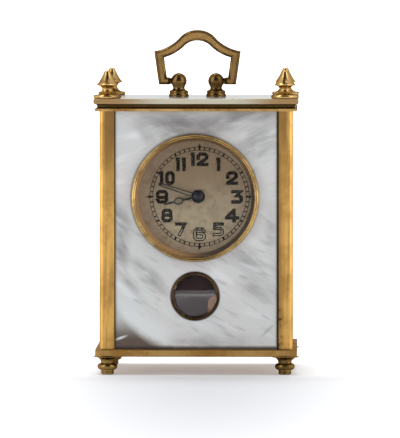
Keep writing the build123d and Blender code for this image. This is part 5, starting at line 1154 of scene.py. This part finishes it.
# Hands: pierced steel hands, blackened by heat and oil, now worn grey on their edges.
# The hour hand sits on its own pipe, and a domed nut holds the minute hand on the arbor.
STEEL_BLACK = (0.036, 0.033, 0.030, 1.0)
STEEL_RUBBED = (0.10, 0.095, 0.090, 1.0)
STEEL_RUST = (0.09, 0.05, 0.03, 1.0)
CAP_GREY = (0.032, 0.032, 0.040, 1.0)
CAP_RADIUS = 1.6 * MM
cap_low, cap_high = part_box("hand_cap")
black_steel = aged_metal("blackened_hand_steel", STEEL_BLACK, STEEL_RUBBED, STEEL_RUST,
                         dulled=0.6, rough=0.30)
dressed("hour_hand", black_steel)
dressed("minute_hand", black_steel)
cap_tall = cap_high.y - cap_low.y
cap_flank = (CAP_RADIUS / 2, -half_way(CAP_RADIUS, cap_tall))
cap_points = [(0.0, 0.0), (CAP_RADIUS, 0.0)]
cap_points += arc((CAP_RADIUS, 0.0), cap_flank, (0.0, -cap_tall), steps=14)
cap = turned("hand_cap", cap_points, (DIAL_AT[0], cap_high.y, DIAL_AT[2]), facing=True, steps=64)
cap_steel = aged_metal("dull_cap_steel", CAP_GREY, STEEL_BLACK, STEEL_RUST, dulled=0.7, rough=0.42)
dressed("hand_cap", cap_steel, cap)

# Small window: a dark brass eyelet holding a convex glass over a burgundy lining on card.
# The lining has torn away at the lower right, where the bare card shows.
WINDOW_AT = (-0.25 * MM, PANEL_FACE, 20.5 * MM)
WINDOW_RADIUS = 6.35 * MM
WINDOW_BORE = 5.6 * MM
WINDOW_RISE = PANEL_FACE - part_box("window_rim")[0].y
WINDOW_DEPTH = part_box("window_rim")[1].y - PANEL_FACE
EYELET_BRIGHT = (0.090, 0.056, 0.026, 1.0)
EYELET_DULL = (0.032, 0.020, 0.010, 1.0)
EYELET_CREST = 0.3 * MM
EYELET_WALL = 0.35 * MM
WINDOW_GLASS_TINT = (0.93, 0.88, 0.89, 1.0)
WINDOW_GLASS_EDGE = 0.6 * MM
WINDOW_GLASS_DOME = 0.75 * MM
WINDOW_GLASS_SLACK = 0.02 * MM
LINING_RED = (0.014, 0.004, 0.005, 1.0)
LINING_WORN = (0.030, 0.010, 0.012, 1.0)
LINING_RADIUS = 5.55 * MM
LINING_DEPTH = [corner.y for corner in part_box("window_lining")]
TEAR_START = radians(3)
TEAR_END = radians(304)
TEAR_SHARES = [(0.60, -0.62), (0.585, -0.42), (0.60, -0.24), (0.66, -0.12), (0.75, -0.03), (0.86, 0.02)]
CARD_TAN = (0.46, 0.27, 0.12, 1.0)
CARD_DIRT = (0.24, 0.13, 0.06, 1.0)
FIBRE_SIZE = 0.12 * MM
FIBRE_DEPTH = 0.02 * MM
RUBBED_BETWEEN = (0.42, 0.72)
RUBBED_ROUGHNESS = 0.15
PAPER_ROUGH = 0.72
TEAR_STEPS = 72

rim_brass = aged_metal("dark_eyelet_brass", EYELET_BRIGHT, EYELET_DULL, GILT_SPOT, dulled=0.9, rough=0.20)
eyelet_crest = (WINDOW_BORE + EYELET_CREST, -WINDOW_RISE)
eyelet_outside = WINDOW_BORE + EYELET_WALL
eyelet = [(WINDOW_BORE, WINDOW_DEPTH), (WINDOW_BORE, -0.8 * WINDOW_RISE)]
eyelet += arc((WINDOW_BORE, -0.6 * WINDOW_RISE), eyelet_crest, (WINDOW_RADIUS, 0.0))
eyelet += [(eyelet_outside, 0.0), (eyelet_outside, WINDOW_DEPTH)]
dressed("window_rim", rim_brass, turned("window_rim", eyelet, WINDOW_AT, facing=True))
glass_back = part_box("window_glass")[1].y - PANEL_FACE
pebble_radius = WINDOW_BORE - WINDOW_GLASS_SLACK
pebble_points = domed(pebble_radius, WINDOW_GLASS_EDGE, WINDOW_GLASS_DOME, glass_back)
pebble_glass = clear_glass("convex_window_glass", WINDOW_GLASS_TINT, rough=0.01, bending=GLASS_BENDING)
dressed("window_glass", pebble_glass, turned("window_glass", pebble_points, WINDOW_AT, facing=True))


def paper(name, fresh, worn, size):
    finish, tree, shader, place = new_finish(name)
    rubbed = rise(tree, cloud(tree, place, size, detail=6.0), *RUBBED_BETWEEN)
    colour = tint(tree, rubbed, fresh, worn)
    rough = plus(tree, PAPER_ROUGH, rubbed, RUBBED_ROUGHNESS)
    normal = bumps(tree, cloud(tree, place, FIBRE_SIZE, detail=3.0), FIBRE_DEPTH)
    fill(tree, shader, {"Base Color": colour, "Roughness": rough, "Normal": normal})
    return finish


tear_sweep = TEAR_END - TEAR_START
rim = [TEAR_START + tear_sweep * step / TEAR_STEPS for step in range(TEAR_STEPS + 1)]
torn_edge = [(cos(angle), sin(angle)) for angle in rim] + TEAR_SHARES
work = bmesh.new()
layers = []
for deep in LINING_DEPTH:
    layer = [(WINDOW_AT[0] + LINING_RADIUS * across, deep, WINDOW_AT[2] + LINING_RADIUS * up)
             for across, up in torn_edge]
    layers.append([work.verts.new(spot) for spot in layer])
front, back = layers
work.faces.new(front)
work.faces.new(back)
for here in range(len(torn_edge)):
    work.faces.new((front[here - 1], front[here], back[here], back[here - 1]))
lining = outward("torn_lining", work)
dressed("window_lining", paper("burgundy_lining_paper", LINING_RED, LINING_WORN, size=1.8 * MM), lining)
coated(paper("torn_card", CARD_TAN, CARD_DIRT, size=0.9 * MM), "window_card")

# Movement plates and cock: rolled brass, grained with a fine stone and lacquered.
# Pillars riveted to the front plate carry the back plate, and steel screws draw all together.
PLATE_BRIGHT = (0.76, 0.56, 0.25, 1.0)
PLATE_DULL = (0.52, 0.35, 0.13, 1.0)
STEEL_BRIGHT = (0.60, 0.60, 0.60, 1.0)
STEEL_DULL = (0.34, 0.33, 0.32, 1.0)
GRAIN_WIDTH = 0.06 * MM
GRAIN_STRETCH = (1, 1, 25)
GRAIN_TONE = 0.4
GRAIN_ROUGHNESS = 0.22
HAZE_SIZE = 4 * MM
HAZE_BETWEEN = (0.4, 0.75)
HAZE_TONE = 0.6

graining, given, gives = new_group(
    "stone_graining",
    [("Place", "Vector"), ("Bright", "Color"), ("Dull", "Color"), ("Rough", "Float")],
    [("Colour", "Color"), ("Roughness", "Float"), ("Height", "Float")],
)
drawn_out = turned_place(graining, given["Place"], stretch=GRAIN_STRETCH)
lines = cloud(graining, drawn_out, GRAIN_WIDTH, detail=3.0)
haze = rise(graining, cloud(graining, given["Place"], HAZE_SIZE, detail=4.0), *HAZE_BETWEEN)
toned = plus(graining, times(graining, haze, HAZE_TONE), lines, GRAIN_TONE)
graining.links.new(tint(graining, toned, given["Bright"], given["Dull"]), gives["Colour"])
graining.links.new(plus(graining, given["Rough"], lines, GRAIN_ROUGHNESS), gives["Roughness"])
graining.links.new(lines, gives["Height"])


def grained_metal(name, bright, dull, rough):
    finish, tree, shader, place = new_finish(name)
    sockets = {"Place": place, "Bright": bright, "Dull": dull, "Rough": rough}
    stone = put(tree, "ShaderNodeGroup", sockets, node_tree=graining).outputs
    normal = bumps(tree, stone["Height"], SCRATCH_DEPTH)
    fill(tree, shader, {"Base Color": stone["Colour"], "Roughness": stone["Roughness"],
                        "Normal": normal, "Metallic": 1.0})
    return finish


plate_brass = grained_metal("grained_plate_brass", PLATE_BRIGHT, PLATE_DULL, rough=0.22)
bright_steel = grained_metal("polished_steel", STEEL_BRIGHT, STEEL_DULL, rough=0.16)
for node in ("front_plate", "back_plate", "movement_pillars", "balance_cock"):
    dressed(node, plate_brass)
dressed("movement_screws", bright_steel)
dressed("door_pivots", bright_steel)

# Going train: brass wheels crossed out with four spokes, riveted on steel pinions and arbors.
# The barrel drives the center wheel, and so on to the escape wheel, which the steel lever holds.
WHEEL_BRIGHT = (0.80, 0.60, 0.28, 1.0)
WHEEL_DULL = (0.60, 0.40, 0.16, 1.0)
wheel_brass = grained_metal("wheel_brass", WHEEL_BRIGHT, WHEEL_DULL, rough=0.18)
for node in ("barrel", "barrel_cover", "center_wheel", "third_wheel", "fourth_wheel", "escape_wheel",
             "balance_wheel"):
    dressed(node, wheel_brass)
for node in ("barrel_arbor", "center_pinion", "center_arbor", "third_arbor", "fourth_arbor", "escape_arbor",
             "pallet_fork", "balance_staff", "regulator"):
    dressed(node, bright_steel)

# Springs: the mainspring in its barrel, the hairspring of the balance and the click's leaf.
# All are of hardened steel, tempered to a dark blue.
BLUED_DEEP = (0.10, 0.14, 0.30, 1.0)
BLUED_PURPLE = (0.20, 0.18, 0.26, 1.0)
blued = grained_metal("blued_spring_steel", BLUED_DEEP, BLUED_PURPLE, rough=0.20)
for node in ("mainspring", "hairspring", "click_spring"):
    dressed(node, blued)

# Motion work: a steel cannon pinion and two brass wheels behind the dial that drive the hands.
# The pinion sits on the center arbor, the hour wheel turns on it and the minute wheel on a stud.
for node in ("minute_wheel", "hour_wheel"):
    dressed(node, wheel_brass)
dressed("cannon_pinion", bright_steel)

# Winding and setting: a steel ratchet and click, a brass winding key and a milled setting knob.
# They stand behind the back plate, in reach through the rear door.
key_brass = aged_metal("fingered_key_brass", PLATE_BRIGHT, PLATE_DULL, GILT_SPOT, dulled=0.6, rough=0.20)
for node in ("ratchet_wheel", "click"):
    dressed(node, bright_steel)
for node in ("winding_key", "setting_knob"):
    dressed(node, key_brass)

# Studio: a white table top, two tall soft boxes at the sides, one overhead and a small lamp in front.
# A dark screen before the table gives the brass its deep tones, and is seen in reflections alone.
TABLE_REACH = 12.0
TABLE_WHITE = (0.86, 0.86, 0.875, 1.0)
TABLE_GREY = (0.84, 0.84, 0.86, 1.0)
TABLE_SHADE = (0.63, 0.642, 0.67, 1.0)
NEAR_GLOW = 0.26
SHADE_AT = (4 * MM, -60 * MM, 0.0)
SHADE_SIZE = (85 * MM, 450 * MM, 1.0)
SHADE_BEFORE = (-8 * MM, -36 * MM)
TABLE_CLOUD = 0.5
GLOW_START = 0.20
GLOW_END = 0.6
SCREEN_HALF_WIDTH = 0.28
SCREEN_BEND = [(-0.40, 0.055), (-0.40, 0.50), (-0.26, 0.78), (-0.06, 0.92), (0.06, 0.94)]
SCREEN_DARK = (0.025, 0.021, 0.017, 1.0)
SCREEN_GREY = (0.05, 0.044, 0.036, 1.0)
CLOTH_CLOUD = 0.4
WHITE = (1.0, 1.0, 1.0, 1.0)
WORLD_LIGHT = 0.64


def sheet(name, corners, finish):
    mesh = bpy.data.meshes.new(name)
    mesh.from_pydata(corners, [], [range(len(corners))])
    mesh.materials.append(finish)
    made = bpy.data.objects.new(name, mesh)
    bpy.context.scene.collection.objects.link(made)
    return made


def seen_as_background(tree):
    """1 for rays that come straight, or off metal or through glass, from the camera."""
    path = put(tree, "ShaderNodeLightPath").outputs
    bent = calc(tree, "MAXIMUM", path["Is Glossy Ray"], path["Is Transmission Ray"])
    return calc(tree, "MAXIMUM", path["Is Camera Ray"], bent)


table_top, tree, shader, place = new_finish("white_table_top")
deep = split(tree, place)["Y"]
# Painted shadow: in a long patch before the clock the table is greyer and glows less.
front = reach_from(tree, turned_place(tree, place, SHADE_AT, stretch=SHADE_SIZE), (0, 0, 0))
front = times(tree, rise(tree, front, 1.0, 0.0), rise(tree, deep, *SHADE_BEFORE))
white = tint(tree, cloud(tree, place, TABLE_CLOUD), TABLE_WHITE, TABLE_GREY)
colour = tint(tree, front, white, TABLE_SHADE)
far = rise(tree, reach_from(tree, place, (0, 0, 0)), GLOW_START, GLOW_END)
glow = calc(tree, "ADD", plus(tree, NEAR_GLOW, front, -NEAR_GLOW), far)
glow = times(tree, seen_as_background(tree), glow)
fill(tree, shader, {"Base Color": colour, "Roughness": 0.6,
                    "Emission Color": WHITE, "Emission Strength": glow})
table_corners = [(-1, -1), (1, -1), (1, 1), (-1, 1)]
table_corners = [(TABLE_REACH * across, TABLE_REACH * deep, 0.0) for across, deep in table_corners]
sheet("table", table_corners, table_top)

screen_cloth, tree, shader, place = new_finish("dark_screen_cloth")
cloth = tint(tree, cloud(tree, place, CLOTH_CLOUD), SCREEN_DARK, SCREEN_GREY)
fill(tree, shader, {"Base Color": cloth, "Roughness": 1.0})
for (first_y, first_z), (last_y, last_z) in zip(SCREEN_BEND, SCREEN_BEND[1:]):
    edges = [(-1, first_y, first_z), (1, first_y, first_z), (1, last_y, last_z), (-1, last_y, last_z)]
    corners = [(SCREEN_HALF_WIDTH * side, deep, up) for side, deep, up in edges]
    screen = sheet("screen", corners, screen_cloth)
    screen.visible_camera = False
    screen.visible_diffuse = False
    screen.visible_shadow = False

world = bpy.data.worlds.new("studio")
bpy.context.scene.world = world
world.use_nodes = True
tree = world.node_tree
seen = seen_as_background(tree)
strength = plus(tree, WORLD_LIGHT, seen, 1 - WORLD_LIGHT)
fill(tree, tree.nodes["Background"], {"Color": WHITE, "Strength": strength})

AIM = Vector((1.03 * MM, PANEL_FACE, 40.6 * MM))
for name, spot, wide, tall, power in (
    ("left_soft_box", (-0.74, -0.56, 0.45), 0.50, 1.0, 2.4),
    ("right_soft_box", (0.78, -0.48, 0.40), 0.50, 1.0, 1.9),
    ("overhead_soft_box", (-0.10, 0.10, 1.1), 0.8, 0.6, 7.0),
    ("small_front_lamp", (0.13, -0.24, 0.60), 0.12, 0.12, 0.08),
):
    lamp = bpy.data.lights.new(name, "AREA")
    lamp.shape = "RECTANGLE"
    lamp.size = wide
    lamp.size_y = tall
    lamp.energy = power
    holder = bpy.data.objects.new(name, lamp)
    holder.location = spot
    holder.rotation_euler = (AIM - Vector(spot)).to_track_quat("-Z", "Y").to_euler()
    holder.visible_camera = False
    bpy.context.scene.collection.objects.link(holder)

# Camera: nearly level and far away, a little to the right of the dial and above the handle.
CAMERA_DISTANCE = 1.5
CAMERA_TURN = radians(1.05)
CAMERA_HEIGHT = 0.110
SENSOR = 36.0
FRAME_WIDTH = 104.0 * MM

camera = bpy.data.objects.new("camera", bpy.data.cameras.new("camera"))
bpy.context.scene.collection.objects.link(camera)
camera_x = AIM.x + CAMERA_DISTANCE * sin(CAMERA_TURN)
camera_y = AIM.y - CAMERA_DISTANCE * cos(CAMERA_TURN)
camera.location = (camera_x, camera_y, CAMERA_HEIGHT)
camera.rotation_euler = (AIM - camera.location).to_track_quat("-Z", "Y").to_euler()
camera.data.sensor_fit = "HORIZONTAL"
camera.data.sensor_width = SENSOR
camera.data.lens = SENSOR * (AIM - camera.location).length / FRAME_WIDTH
camera.data.clip_end = 20.0
bpy.context.scene.camera = camera
bpy.context.scene.view_settings.view_transform = "Standard"
